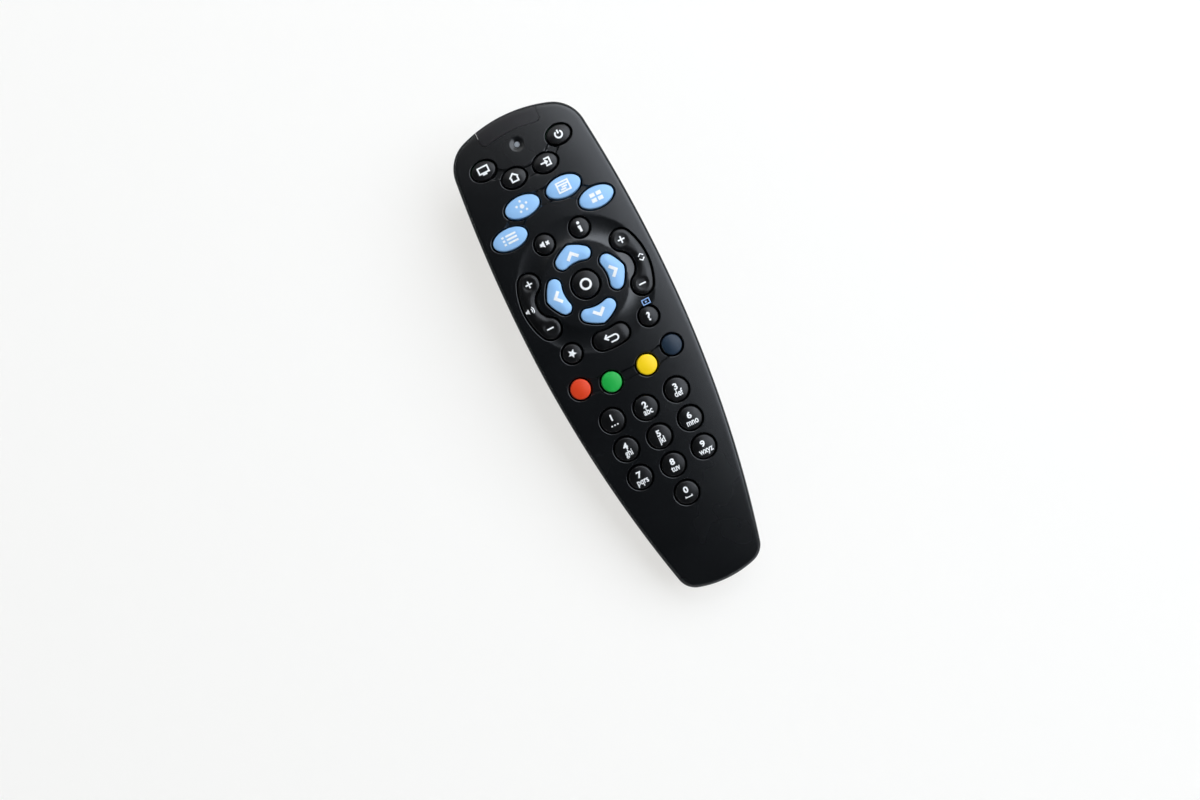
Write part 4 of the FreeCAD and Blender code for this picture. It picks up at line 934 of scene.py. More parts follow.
def box_solid(name: str, low: Sequence[float], high: Sequence[float]) -> bpy.types.Object:
    """Plain block between two corners in the table frame, to cut or extend other meshes.

    Args:
        name: Name of the object.
        low: Its least corner, in millimetres.
        high: Its greatest corner.

    Returns:
        The linked object.
    """
    solid = Solid()
    corners = np.array([
        (low[0], low[1]), (high[0], low[1]), (high[0], high[1]), (low[0], high[1])])
    solid.prism(corners, low[2], high[2])
    return solid.mesh(name, in_case=False)


# Node trees


def linear(hex_colour: str) -> tuple[float, float, float, float]:
    """Linear colour of an sRGB hex value such as #8DB4E8.

    Args:
        hex_colour: The colour, with its leading sign.

    Returns:
        Red, green, blue and an alpha of 1.
    """
    parts = [int(hex_colour[place:place + 2], 16) / 255 for place in (1, 3, 5)]
    red, green, blue = (
        part / 12.92 if part <= 0.04045 else ((part + 0.055) / 1.055) ** 2.4 for part in parts
    )
    return red, green, blue, 1.0


def add_node(
    tree: bpy.types.NodeTree, kind: str, inputs: dict | None = None, **settings: object
) -> bpy.types.Node:
    """Adds a node with its settings, values and links.

    Args:
        tree: Tree that gets the node.
        kind: Type name of the node.
        inputs: Values or output sockets for its input sockets, by name or number.
        settings: Attributes of the node.

    Returns:
        The new node.
    """
    made = tree.nodes.new(kind)
    for name, value in settings.items():
        setattr(made, name, value)
    for key, value in (inputs or {}).items():
        if isinstance(value, bpy.types.NodeSocket):
            tree.links.new(value, made.inputs[key])
        else:
            made.inputs[key].default_value = value
    return made


def start_material(
    name: str, values: dict[str, object] | None = None
) -> tuple[bpy.types.Material, bpy.types.NodeTree, bpy.types.Node]:
    """Makes a material with a shader and an output.

    Args:
        name: Name of the material.
        values: Fixed values of the shader, by input.

    Returns:
        The material, its tree and its shader node.
    """
    material = bpy.data.materials.new(name)
    material.use_nodes = True
    tree = material.node_tree
    tree.nodes.clear()
    shader = add_node(tree, "ShaderNodeBsdfPrincipled", values)
    add_node(tree, "ShaderNodeOutputMaterial", {"Surface": shader.outputs["BSDF"]})
    return material, tree, shader


def pattern_scale(feature_mm: float) -> float:
    """Noise scale on Object coordinates whose features are about this size in millimetres."""
    return 1 / (feature_mm * MM)


# Divisor that turns a pattern's scale into that of the Wave node
WAVES_PER_UNIT = 20

# Limits between which nearly all values of the Noise node lie
NOISE_LOW, NOISE_HIGH = 0.3, 0.7


def noise_between(
    tree: bpy.types.NodeTree, feature_mm: float, low: float, high: float, detail: float = 2.0
) -> bpy.types.NodeSocket:
    """A value that wanders between two limits over the piece.

    Args:
        tree: Tree that gets the nodes.
        feature_mm: Size of the pattern in millimetres.
        low: Least value.
        high: Greatest value.
        detail: Detail of the noise.

    Returns:
        The socket that carries the value.
    """
    place = add_node(tree, "ShaderNodeTexCoord")
    noise = add_node(
        tree, "ShaderNodeTexNoise",
        {"Vector": place.outputs["Object"], "Scale": pattern_scale(feature_mm), "Detail": detail},
    )
    spread = add_node(
        tree, "ShaderNodeMapRange",
        {"Value": noise.outputs["Fac"], "From Min": NOISE_LOW, "From Max": NOISE_HIGH,
         "To Min": low, "To Max": high},
    )
    return spread.outputs["Result"]


def grain_bump(
    tree: bpy.types.NodeTree, shader: bpy.types.Node, feature_mm: float, depth_mm: float,
    strength: float,
) -> None:
    """Gives a shader the fine relief of a moulded or ground surface.

    Args:
        tree: Tree of the shader.
        shader: Shader whose normal is changed.
        feature_mm: Size of one grain in millimetres.
        depth_mm: Depth of the grain in millimetres.
        strength: Strength of the relief, 0 to 1.
    """
    height = noise_between(tree, feature_mm, 0.0, 1.0, detail=3.0)
    bump = add_node(
        tree, "ShaderNodeBump", {"Strength": strength, "Distance": depth_mm * MM, "Height": height}
    )
    tree.links.new(bump.outputs["Normal"], shader.inputs["Normal"])


def maths(
    tree: bpy.types.NodeTree, operation: str, first: bpy.types.NodeSocket,
    second: bpy.types.NodeSocket | float,
) -> bpy.types.NodeSocket:
    """Result of a Math node with two inputs."""
    return add_node(
        tree, "ShaderNodeMath", {0: first, 1: second}, operation=operation).outputs[0]


# Sockets of the Mix node in its colour mode
MIX_FACTOR, MIX_FIRST, MIX_SECOND, MIX_RESULT = 0, 6, 7, 2


def blend_colours(
    tree: bpy.types.NodeTree, share: bpy.types.NodeSocket, first: str, second: str
) -> bpy.types.NodeSocket:
    """Mixes two sRGB hex colours by a socket's value."""
    colours = {MIX_FACTOR: share, MIX_FIRST: linear(first), MIX_SECOND: linear(second)}
    mix = add_node(tree, "ShaderNodeMix", colours, data_type="RGBA")
    return mix.outputs[MIX_RESULT]


def paint(
    tree: bpy.types.NodeTree, shader: bpy.types.Node, colour: bpy.types.NodeSocket,
    roughness: bpy.types.NodeSocket,
) -> None:
    """Links a colour and a roughness to a shader."""
    tree.links.new(colour, shader.inputs["Base Color"])
    tree.links.new(roughness, shader.inputs["Roughness"])


# Finishes


@dataclass(frozen=True)
class MouldedPlastic:
    """Injection-moulded ABS with a spark-eroded grain, a little lighter where hands rub it."""

    name: str
    colour: str
    rubbed: str
    smooth: float
    rough: float
    grain_mm: float = 0.35
    grain_depth_mm: float = 0.012
    grain_strength: float = 0.25
    patch_mm: float = 45.0
    ior: float = 1.54

    def material(self) -> bpy.types.Material:
        """Material with a broad change of sheen and a fine grain."""
        material, tree, shader = start_material(self.name, {"IOR": self.ior})
        patches = noise_between(tree, self.patch_mm, 0.0, 1.0)
        colour = blend_colours(tree, patches, self.colour, self.rubbed)
        sheen = noise_between(tree, self.patch_mm / 2, self.smooth, self.rough)
        paint(tree, shader, colour, sheen)
        grain_bump(tree, shader, self.grain_mm, self.grain_depth_mm, self.grain_strength)
        return material


@dataclass(frozen=True)
class SiliconeRubber:
    """Compression-moulded silicone rubber, matt, with a soft bloom at grazing angles."""

    name: str
    colour: str
    faded: str
    roughness: float = 0.5
    bloom: float = 0.05
    bloom_roughness: float = 0.5
    fading_mm: float = 6.0
    skin_mm: float = 3.0
    skin_change: tuple[float, float] = (0.05, 0.07)
    grain_mm: float = 0.25
    grain_depth_mm: float = 0.006
    grain_strength: float = 0.3
    ior: float = 1.42

    def material(self) -> bpy.types.Material:
        """Material with slight fading, a fine skin and a weak sheen."""
        material, tree, shader = start_material(self.name, {
            "IOR": self.ior, "Sheen Weight": self.bloom, "Sheen Roughness": self.bloom_roughness})
        fading = noise_between(tree, self.fading_mm, 0.0, 1.0)
        colour = blend_colours(tree, fading, self.colour, self.faded)
        less, more = self.skin_change
        skin = noise_between(tree, self.skin_mm, self.roughness - less, self.roughness + more)
        paint(tree, shader, colour, skin)
        grain_bump(tree, shader, self.grain_mm, self.grain_depth_mm, self.grain_strength)
        return material


@dataclass(frozen=True)
class ScreenPrint:
    """Pad-printed ink, opaque and slightly uneven."""

    name: str
    colour: str
    thin: str
    film_mm: float = 0.8
    sheen_mm: float = 0.5
    smooth: float = 0.45
    rough: float = 0.6
    ior: float = 1.5

    def material(self) -> bpy.types.Material:
        """Material of an even, matt ink film."""
        material, tree, shader = start_material(self.name, {"IOR": self.ior})
        film = noise_between(tree, self.film_mm, 0.0, 1.0)
        colour = blend_colours(tree, film, self.colour, self.thin)
        sheen = noise_between(tree, self.sheen_mm, self.smooth, self.rough)
        paint(tree, shader, colour, sheen)
        return material


@dataclass(frozen=True)
class PolishedPlastic:
    """Clear or dark plastic from a polished mould: acrylic window, epoxy lens or body."""

    name: str
    colour: str
    deep: str
    roughness: float
    ior: float = 1.49
    cloud_mm: float = 5.0
    wiped_mm: float = 8.0
    wiped_change: float = 0.06

    def material(self) -> bpy.types.Material:
        """Material with a clean gloss and faint clouding."""
        material, tree, shader = start_material(self.name, {"IOR": self.ior})
        cloud = noise_between(tree, self.cloud_mm, 0.0, 1.0)
        colour = blend_colours(tree, cloud, self.colour, self.deep)
        wiped = noise_between(
            tree, self.wiped_mm, self.roughness, self.roughness + self.wiped_change)
        paint(tree, shader, colour, wiped)
        return material


@dataclass(frozen=True)
class PlatedMetal:
    """Rolled or drawn metal with a thin plating and fine lines along its length."""

    name: str
    colour: str
    dull: str
    roughness: float
    line_mm: float = 0.4
    line_squeeze: float = 0.08
    worn_mm: float = 2.0
    worn_change: tuple[float, float] = (0.06, 0.08)

    def material(self) -> bpy.types.Material:
        """Metal with stretched noise as rolling lines."""
        material, tree, shader = start_material(self.name, {"Metallic": 1.0})
        place = add_node(tree, "ShaderNodeTexCoord")
        stretched = add_node(
            tree, "ShaderNodeMapping",
            {"Vector": place.outputs["Object"], "Scale": (1.0, self.line_squeeze, 1.0)},
        )
        lines = add_node(
            tree, "ShaderNodeTexNoise",
            {"Vector": stretched.outputs["Vector"], "Scale": pattern_scale(self.line_mm),
             "Detail": 3.0},
        )
        colour = blend_colours(tree, lines.outputs["Fac"], self.colour, self.dull)
        less, more = self.worn_change
        worn = noise_between(tree, self.worn_mm, self.roughness - less, self.roughness + more)
        paint(tree, shader, colour, worn)
        return material


@dataclass(frozen=True)
class BoardLaminate:
    """Glass-epoxy board under green solder resist, with the weave just showing."""

    name: str
    colour: str
    weave: str
    thread_mm: float = 0.9
    thread_bend: float = 0.3
    sheen_mm: float = 10.0
    smooth: float = 0.25
    rough: float = 0.35

    def material(self) -> bpy.types.Material:
        """Material with a woven pattern below a glossy resist."""
        material, tree, shader = start_material(self.name)
        place = add_node(tree, "ShaderNodeTexCoord")
        bands = []
        for direction in ("X", "Y"):
            wave = add_node(
                tree, "ShaderNodeTexWave",
                {"Vector": place.outputs["Object"],
                 "Scale": pattern_scale(self.thread_mm) / WAVES_PER_UNIT,
                 "Distortion": self.thread_bend},
                bands_direction=direction,
            )
            bands.append(wave.outputs["Fac"])
        woven = maths(tree, "MULTIPLY", *bands)
        colour = blend_colours(tree, woven, self.colour, self.weave)
        sheen = noise_between(tree, self.sheen_mm, self.smooth, self.rough)
        paint(tree, shader, colour, sheen)
        return material


@dataclass(frozen=True)
class CellJacket:
    """Printed film on a dry cell: a dark body with a paler band at one end."""

    name: str
    body: str
    band: str
    band_from: float = 0.0535
    sheen_mm: float = 4.0
    smooth: float = 0.22
    rough: float = 0.34
    coat: float = 0.4

    def material(self) -> bpy.types.Material:
        """Material whose colour changes along the cell."""
        material, tree, shader = start_material(self.name, {"Coat Weight": self.coat})
        place = add_node(tree, "ShaderNodeTexCoord")
        axes = add_node(tree, "ShaderNodeSeparateXYZ", {"Vector": place.outputs["Object"]})
        step = maths(tree, "GREATER_THAN", axes.outputs["Y"], self.band_from)
        colour = blend_colours(tree, step, self.body, self.band)
        sheen = noise_between(tree, self.sheen_mm, self.smooth, self.rough)
        paint(tree, shader, colour, sheen)
        return material


Finish = (MouldedPlastic | SiliconeRubber | ScreenPrint | PolishedPlastic | PlatedMetal
          | BoardLaminate | CellJacket)

# The record's material slots and what each is finished in
FINISHES: dict[str, Finish] = {
    # Satin black ABS: a broad soft sheen, with almost no colour of its own
    "face_plastic": MouldedPlastic("face_abs", "#07090B", "#0B0D0F", 0.24, 0.28),
    # The back's mould has a coarser spark-eroded grain, so it is duller than the face
    "back_plastic": MouldedPlastic("back_abs", "#141517", "#1A1B1D", 0.46, 0.54, 0.5, 0.03, 0.5),
    "cover_plastic": MouldedPlastic("cover_abs", "#141517", "#1B1C1E", 0.46, 0.54, 0.5, 0.03, 0.5),
    # Infrared-passing acrylic looks black, with a trace of violet
    "window_plastic": PolishedPlastic("window_acrylic", "#101013", "#151216", 0.28),
    "mat_rubber": SiliconeRubber("mat_silicone", "#1C1C1E", "#232326", 0.6),
    "board_laminate": BoardLaminate("board_resist", "#18472A", "#205635"),
    "chip_epoxy": MouldedPlastic("chip_epoxy", "#1B1B1B", "#222222", 0.5, 0.6, 0.2, 0.005),
    "resonator_case": PlatedMetal("resonator_tin", "#B9B8B2", "#9C9A94", 0.3),
    "capacitor_can": PolishedPlastic("capacitor_sleeve", "#23304F", "#2B3A5C", 0.3),
    "emitter_epoxy": PolishedPlastic("emitter_epoxy", "#1A1E2C", "#232839", 0.1, 1.55),
    "lamp_lens": PolishedPlastic("lamp_epoxy", "#7E8286", "#8A8E92", 0.5, 1.5),
    "screw_steel": PlatedMetal("screw_zinc", "#B4B4B0", "#8F8F8C", 0.35),
    "contact_metal": PlatedMetal("contact_nickel", "#C6C2B8", "#A8A49B", 0.28),
    "cell_jacket": CellJacket("cell_film", "#20242B", "#B98A3A"),
    # Black silicone with white print: matt, a shade darker than the case
    "key_black": SiliconeRubber("key_black_silicone", "#060607", "#0A0A0B", 0.34, 0.0),
    # The pale keys are sprayed over the rubber, so they are even and matt
    "key_pale_blue": SiliconeRubber("key_pale_blue_silicone", "#90BFEB", "#9AC6F0", 0.46, 0.02),
    "key_red": SiliconeRubber("key_red_silicone", "#DC3A12", "#E2441C", 0.44, 0.02),
    "key_green": SiliconeRubber("key_green_silicone", "#13A93F", "#22B24B", 0.44, 0.02),
    "key_yellow": SiliconeRubber("key_yellow_silicone", "#FBD000", "#FFD806", 0.44, 0.02),
    "key_dark_blue": SiliconeRubber("key_dark_blue_silicone", "#0F2334", "#162B3E", 0.42, 0.02),
}

WHITE_PRINT = ScreenPrint("white_print", "#FBFBF9", "#F0F0EE")
BLUE_PRINT = ScreenPrint("pale_blue_print", "#8DB4E8", "#83AADD")


class Wardrobe:
    """Makes each finish once and puts it on pieces and CAD nodes."""

    def __init__(self) -> None:
        """Starts with no material made."""
        self.made: dict[str, bpy.types.Material] = {}

    def material(self, finish: Finish) -> bpy.types.Material:
        """The material of a finish, made when it is first asked for."""
        if finish.name not in self.made:
            self.made[finish.name] = finish.material()
        return self.made[finish.name]

    def put_on(self, obj: bpy.types.Object, finish: Finish) -> None:
        """Gives an object's every face one finish.

        Args:
            obj: Object with a mesh.
            finish: What it is finished in.
        """
        material = self.material(finish)
        if not obj.material_slots:
            obj.data.materials.append(material)
        for slot in obj.material_slots:
            slot.material = material

    def dress_nodes(self) -> None:
        """Gives every CAD node the finish of its slot in the record."""
        for entry in frame["record"]["subparts"]:
            self.put_on(frame["nodes"][entry["node"]], FINISHES[entry["material_slot"]])

    def place(self, obj: bpy.types.Object, body: str, slot: str, finish: Finish | None = None,
              nodes: Sequence[str] = ()) -> None:
        """Finishes a new piece, hangs it on its body and hides any CAD nodes that it stands for.

        Args:
            obj: The piece.
            body: CAD body that it moves with.
            slot: Material slot of the record whose finish it gets when no other finish is given.
            finish: Finish other than the slot's own.
            nodes: CAD nodes that it stands for.
        """
        self.put_on(obj, finish or FINISHES[slot])
        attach(obj, body)
        if nodes:
            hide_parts(*nodes)


WARDROBE = Wardrobe()


# Pieces


def fillet_section(
    lean_tan: float, start_height: np.ndarray, slope: np.ndarray, radius: np.ndarray, steps: int
) -> list[tuple[np.ndarray, np.ndarray]]:
    """Rounds the corner between a leaning wall and a cap, for every point of an outline.

    Args:
        lean_tan: How far the wall leans in for each millimetre of height.
        start_height: Height of the cap's line above the foot of the wall.
        slope: Rise of the cap for each millimetre inwards.
        radius: Radius of the round.
        steps: Number of pieces of the round.

    Returns:
        Inset and height for each ring of the round, from the wall to the cap.
    """
    wall = np.array((1.0, -lean_tan)) / math.hypot(1.0, lean_tan)
    length = np.hypot(slope, 1.0)
    cap_x, cap_z = slope / length, -1.0 / length
    # The middle of the round is at radius from both lines
    cap_gap = radius + start_height * cap_z
    divisor = wall[0] * cap_z - wall[1] * cap_x
    x = (radius * cap_z - wall[1] * cap_gap) / divisor
    z = (wall[0] * cap_gap - radius * cap_x) / divisor
    start = math.atan2(-wall[1], -wall[0])
    end = np.arctan2(-cap_z, -cap_x)
    rings = []
    for place in range(steps + 1):
        angle = start + (end - start) * place / steps
        rings.append((x + radius * np.cos(angle), z + radius * np.sin(angle)))
    return rings


@dataclass
class UpperShell:
    """Crowned face and side walls in one moulding, with wells, moat, channels and dimple."""

    rim_round: float = 0.8
    edge_round: float = 0.9
    edge_in: float = 1.75
    edge_turn: float = math.radians(36.0)
    edge_steps: int = 3
    rim_steps: int = 6
    border: float = 2.7
    face_wall: float = 2.2
    side_wall: float = 1.9
    lip_height: float = 1.32
    lip_inset: float = 0.98
    seam_bevel: float = 0.14
    key_gap: float = 0.66
    well_lip: float = 0.3
    lip_steps: int = 4
    lamp_hole: float = 1.17
    lamp_lip: float = 0.15
    coarse: float = 1.7
    fine: float = 0.62
    circle_points: int = 180
    worked_blend: float = 2.6
    worked_margin: float = 1.0
    circle_clear: float = 0.45
    row_clear: float = 0.6
    coarse_clear: float = 0.6
    border_clear: float = 0.5
    well_clear: float = 0.22
    under_pitch: float = 5.0
    under_border_clear: float = 1.5
    under_well_clear: float = 1.0

    def rim(self) -> list[np.ndarray]:
        """Rings from the foot of the side wall over the rim to the face's border."""
        loop = CASE.outline()
        far = loop.grown(-self.border)
        near = loop.grown(-self.edge_in)
        slope = (CASE.crown(far) - CASE.crown(near)) / (self.border - self.edge_in)
        bevel = self.seam_bevel
        rings = [plan3(loop.grown(-bevel), 0.0),
                 plan3(loop.grown(-bevel * CASE.side_draft), bevel)]
        # The crisp edge: a small round whose middle lies straight below the face's border
        face_turn = np.arctan(slope)
        round_z = CASE.crown(near) - self.edge_round / np.cos(face_turn)
        # The fall beside it is tangent to the small round and to the larger one at the side
        sine, cosine = math.sin(self.edge_turn), math.cos(self.edge_turn)
        wall = math.atan(CASE.side_draft)
        foot_in = self.edge_in - self.edge_round * sine
        foot_z = round_z + self.edge_round * cosine
        # Middle of the larger round: rim_round inside both the fall and the leaning wall
        run = (foot_in - self.rim_round * (1 / math.cos(wall) - sine)
               - CASE.side_draft * (foot_z - self.rim_round * cosine))
        run = run / (cosine - CASE.side_draft * sine)
        low_in = foot_in - run * cosine + self.rim_round * sine
        low_z = foot_z - run * sine - self.rim_round * cosine
        first, change = math.pi / 2 - wall, self.edge_turn - math.pi / 2 + wall
        for place in range(self.rim_steps + 1):
            turn = first + change * place / self.rim_steps
            inset = low_in - self.rim_round * math.sin(turn)
            height = low_z + self.rim_round * math.cos(turn)
            rings.append(plan3(loop.points - loop.normals * inset[:, None], height))
        for place in range(self.edge_steps + 1):
            turn = self.edge_turn + (face_turn - self.edge_turn) * place / self.edge_steps
            inset = self.edge_in - self.edge_round * np.sin(turn)
            height = round_z + self.edge_round * np.cos(turn)
            rings.append(plan3(loop.points - loop.normals * inset[:, None], height))
        rings.append(plan3(far, CASE.crown(far)))
        return rings

    def face_points(self, border: np.ndarray, holes: Sequence[np.ndarray]) -> np.ndarray:
        """Inner points of the face: a wide grid, closer where the face is worked.

        Args:
            border: Border of the face.
            holes: Curves of the openings.

        Returns:
            Array of shape (n, 2).
        """
        low, high = border.min(axis=0), border.max(axis=0)
        wide = grid(low, high, self.coarse)
        close = grid(low, high, self.fine)
        from_nav = np.hypot(close[:, 0], close[:, 1] - LAYOUT.nav_at)
        margin = self.worked_margin
        in_moat = ((from_nav > RELIEF.moat_inner - margin)
                   & (from_nav < RELIEF.moat_outer + margin))
        soft = FaceRelief(channel_blend=self.worked_blend)
        in_channel = soft.channel_hollow(close) > 0.01
        from_lamp = np.hypot(close[:, 0], close[:, 1] - RELIEF.lamp_at)
        in_dimple = from_lamp < RELIEF.dimple_radius + margin
        close = close[in_moat | in_channel | in_dimple]
        turns = np.linspace(0, 2 * math.pi, self.circle_points + 1)[:-1]
        circles = []
        for radius in (RELIEF.moat_inner, RELIEF.moat_outer):
            circles.append(np.column_stack((
                np.cos(turns) * radius, np.sin(turns) * radius + LAYOUT.nav_at,
            )))
        rows = RELIEF.channel_rows()
        rings = np.vstack(circles)
        close = close[nearest(close, rings) > self.fine * self.circle_clear]
        close = close[nearest(close, rows) > self.fine * self.row_clear]
        worked = np.vstack((close, rings, rows))
        wide = wide[nearest(wide, worked) > self.coarse * self.coarse_clear]
        points = np.vstack((worked, wide))
        points = points[inside_loop(points, border)]
        points = points[nearest(points, border) > self.border_clear]
        for hole in holes:
            reach = np.ptp(hole, axis=0).max() / 2 + margin
            near = np.abs(points - (hole.min(axis=0) + hole.max(axis=0)) / 2).max(axis=1) < reach
            part = points[near]
            clear = ~inside_loop(part, hole) & (nearest(part, hole) > self.well_clear)
            points = np.vstack((points[~near], part[clear]))
        return points

    def build(self) -> bpy.types.Object:
        """Makes the closed shell, still without the window's opening."""
        solid = Solid()
        rim = [solid.add(ring) for ring in self.rim()]
        solid.bands(rim)
        lamp = LAYOUT.ellipse(self.lamp_hole, self.lamp_hole).moved((0.0, RELIEF.lamp_at))
        # Each opening's plan curve, its gap and the round at its mouth
        openings = [(key.loop, self.key_gap, self.well_lip) for key in KEYS]
        openings.append((lamp, 0.0, self.lamp_lip))
        mouths: list[np.ndarray] = []
        under: list[np.ndarray] = []
        for loop, gap, lip in openings:
            well = loop.grown(gap + lip)
            rings = []
            for place in range(self.lip_steps + 1):
                angle = math.pi / 2 * place / self.lip_steps
                around = loop.grown(gap + lip * (1 - math.sin(angle)))
                drop = lip * (1 - math.cos(angle))
                rings.append(solid.add(plan3(around, RELIEF.top(well) - drop)))
            wall = loop.grown(gap)
            rings.append(solid.add(plan3(wall, CASE.crown(wall) - self.face_wall)))
            solid.bands(rings, flip=True)
            mouths.append(rings[0])
            under.append(rings[-1])
        border = CASE.outline().grown(-self.border)
        wells = [loop.grown(gap + lip) for loop, gap, lip in openings]
        solid.cover([rim[-1], *mouths], self.face_points(border, wells), RELIEF.top)
        self.close_below(solid, rim[0], under, [loop.grown(gap) for loop, gap, _ in openings])
        return solid.mesh("face_shell")

    def close_below(self, solid: Solid, foot: np.ndarray, under: Sequence[np.ndarray],
                    walls: Sequence[np.ndarray]) -> None:
        """Adds the inner wall with its rebate and the underside of the face.

        Args:
            solid: Shell under construction.
            foot: Indices of the outer wall's lowest ring.
            under: Indices of each opening's lowest ring.
            walls: Plan points of each opening's wall.
        """
        outline = CASE.outline()
        border = outline.grown(-self.border)
        roof = CASE.crown(border) - self.face_wall
        wall_inset = self.side_wall + roof * CASE.side_draft
        inner = outline.points - outline.normals * wall_inset[:, None]
        rings = [
            foot,
            solid.add(plan3(outline.grown(-self.lip_inset), 0.0)),
            solid.add(plan3(outline.grown(-self.lip_inset), self.lip_height)),
            solid.add(plan3(outline.grown(-self.side_wall), self.lip_height)),
            solid.add(plan3(inner, roof)),
            solid.add(plan3(border, roof)),
        ]
        solid.bands(rings, flip=True)
        points = inner_grid(border, self.under_pitch, self.under_border_clear)
        for wall in walls:
            far = nearest(points, wall) > self.under_well_clear
            points = points[~inside_loop(points, wall) & far]
        solid.cover([rings[-1], *under], points,
                    lambda plan: CASE.crown(plan) - self.face_wall, flip=True)


@dataclass
class WindowPane:
    """Dark window at the head, which wraps from the face over the end."""

    half: float = 12.3
    reach: float = 7.1
    corner: float = 2.0
    drop: float = 4.5
    gap: float = 0.12
    wall: float = 1.9
    face_wall: float = 2.2
    zone_beyond: float = 20.0
    zone_top: float = 30.0
    inner_step: float = 0.8
    corner_step: float = 0.4
    hull_pitch: float = 2.0
    hull_clear: float = 0.8
    room_low: float = -20.0
    room_pitch: float = 4.0
    room_clear: float = 1.5

    def zone(self, grow: float) -> bpy.types.Object:
        """Upright block over the window's plan, grown by a gap.

        Args:
            grow: How far it is grown.

        Returns:
            The linked object.
        """
        centre = np.array((0.0, CASE.head_end - CASE.head_radius))
        inner = CASE.head_radius - self.reach - grow
        half = self.half + grow
        rise = math.sqrt((inner + self.corner) ** 2 - (half - self.corner) ** 2)
        round_at = np.array((half - self.corner, centre[1] + rise))
        turn = heading(round_at - centre)
        far = CASE.head_end + self.zone_beyond
        right = join((
            arc(centre, inner, math.pi / 2, turn, self.inner_step, hollow=True),
            arc(round_at, self.corner, turn - math.pi, 0.0, self.corner_step),
            Loop(np.array([[half, round_at[1]], [half, far], [0.0, far]]), np.ones((3, 2))),
        ))
        solid = Solid()
        solid.prism(mirror_half(right).points, -self.drop - grow, self.zone_top)
        return solid.mesh("window_zone")

    def hull(self) -> bpy.types.Object:
        """The head's outer form, closed below the window."""
        solid = Solid()
        outline = CASE.outline()
        rings = [
            plan3(outline.grown(-BACK.draft * 2 * self.drop), -2 * self.drop),
            plan3(outline.points, 0.0),
            *UpperShell(seam_bevel=0.01).rim()[2:],
        ]
        made = [solid.add(ring) for ring in rings]
        solid.bands(made)
        inner = inner_grid(rings[-1][:, :2], self.hull_pitch, self.hull_clear)
        solid.cover([made[-1]], inner, CASE.crown)
        solid.close(made[0], flip=True)
        return solid.mesh("window_hull")

    def room(self) -> bpy.types.Object:
        """The space behind the window."""
        wall = CASE.outline().grown(-self.wall)
        solid = Solid()
        lower = solid.add(plan3(wall, self.room_low))
        upper = solid.add(plan3(wall, CASE.crown(wall) - self.face_wall))
        solid.band(lower, upper)
        solid.close(lower, flip=True)
        inner = inner_grid(wall, self.room_pitch, self.room_clear)
        solid.cover([upper], inner, lambda plan: CASE.crown(plan) - self.face_wall)
        return solid.mesh("window_room")

    def build(self) -> bpy.types.Object:
        """Makes the pane and puts it on the case."""
        pane = carve(self.hull(), self.zone(0.0), "INTERSECT")
        pane = carve(pane, self.room(), "DIFFERENCE")
        pane.name = "window_pane"
        shade(pane, crease=30.0)
        WARDROBE.place(pane, "case", "window_plastic", nodes=["ir_window"])
        return pane


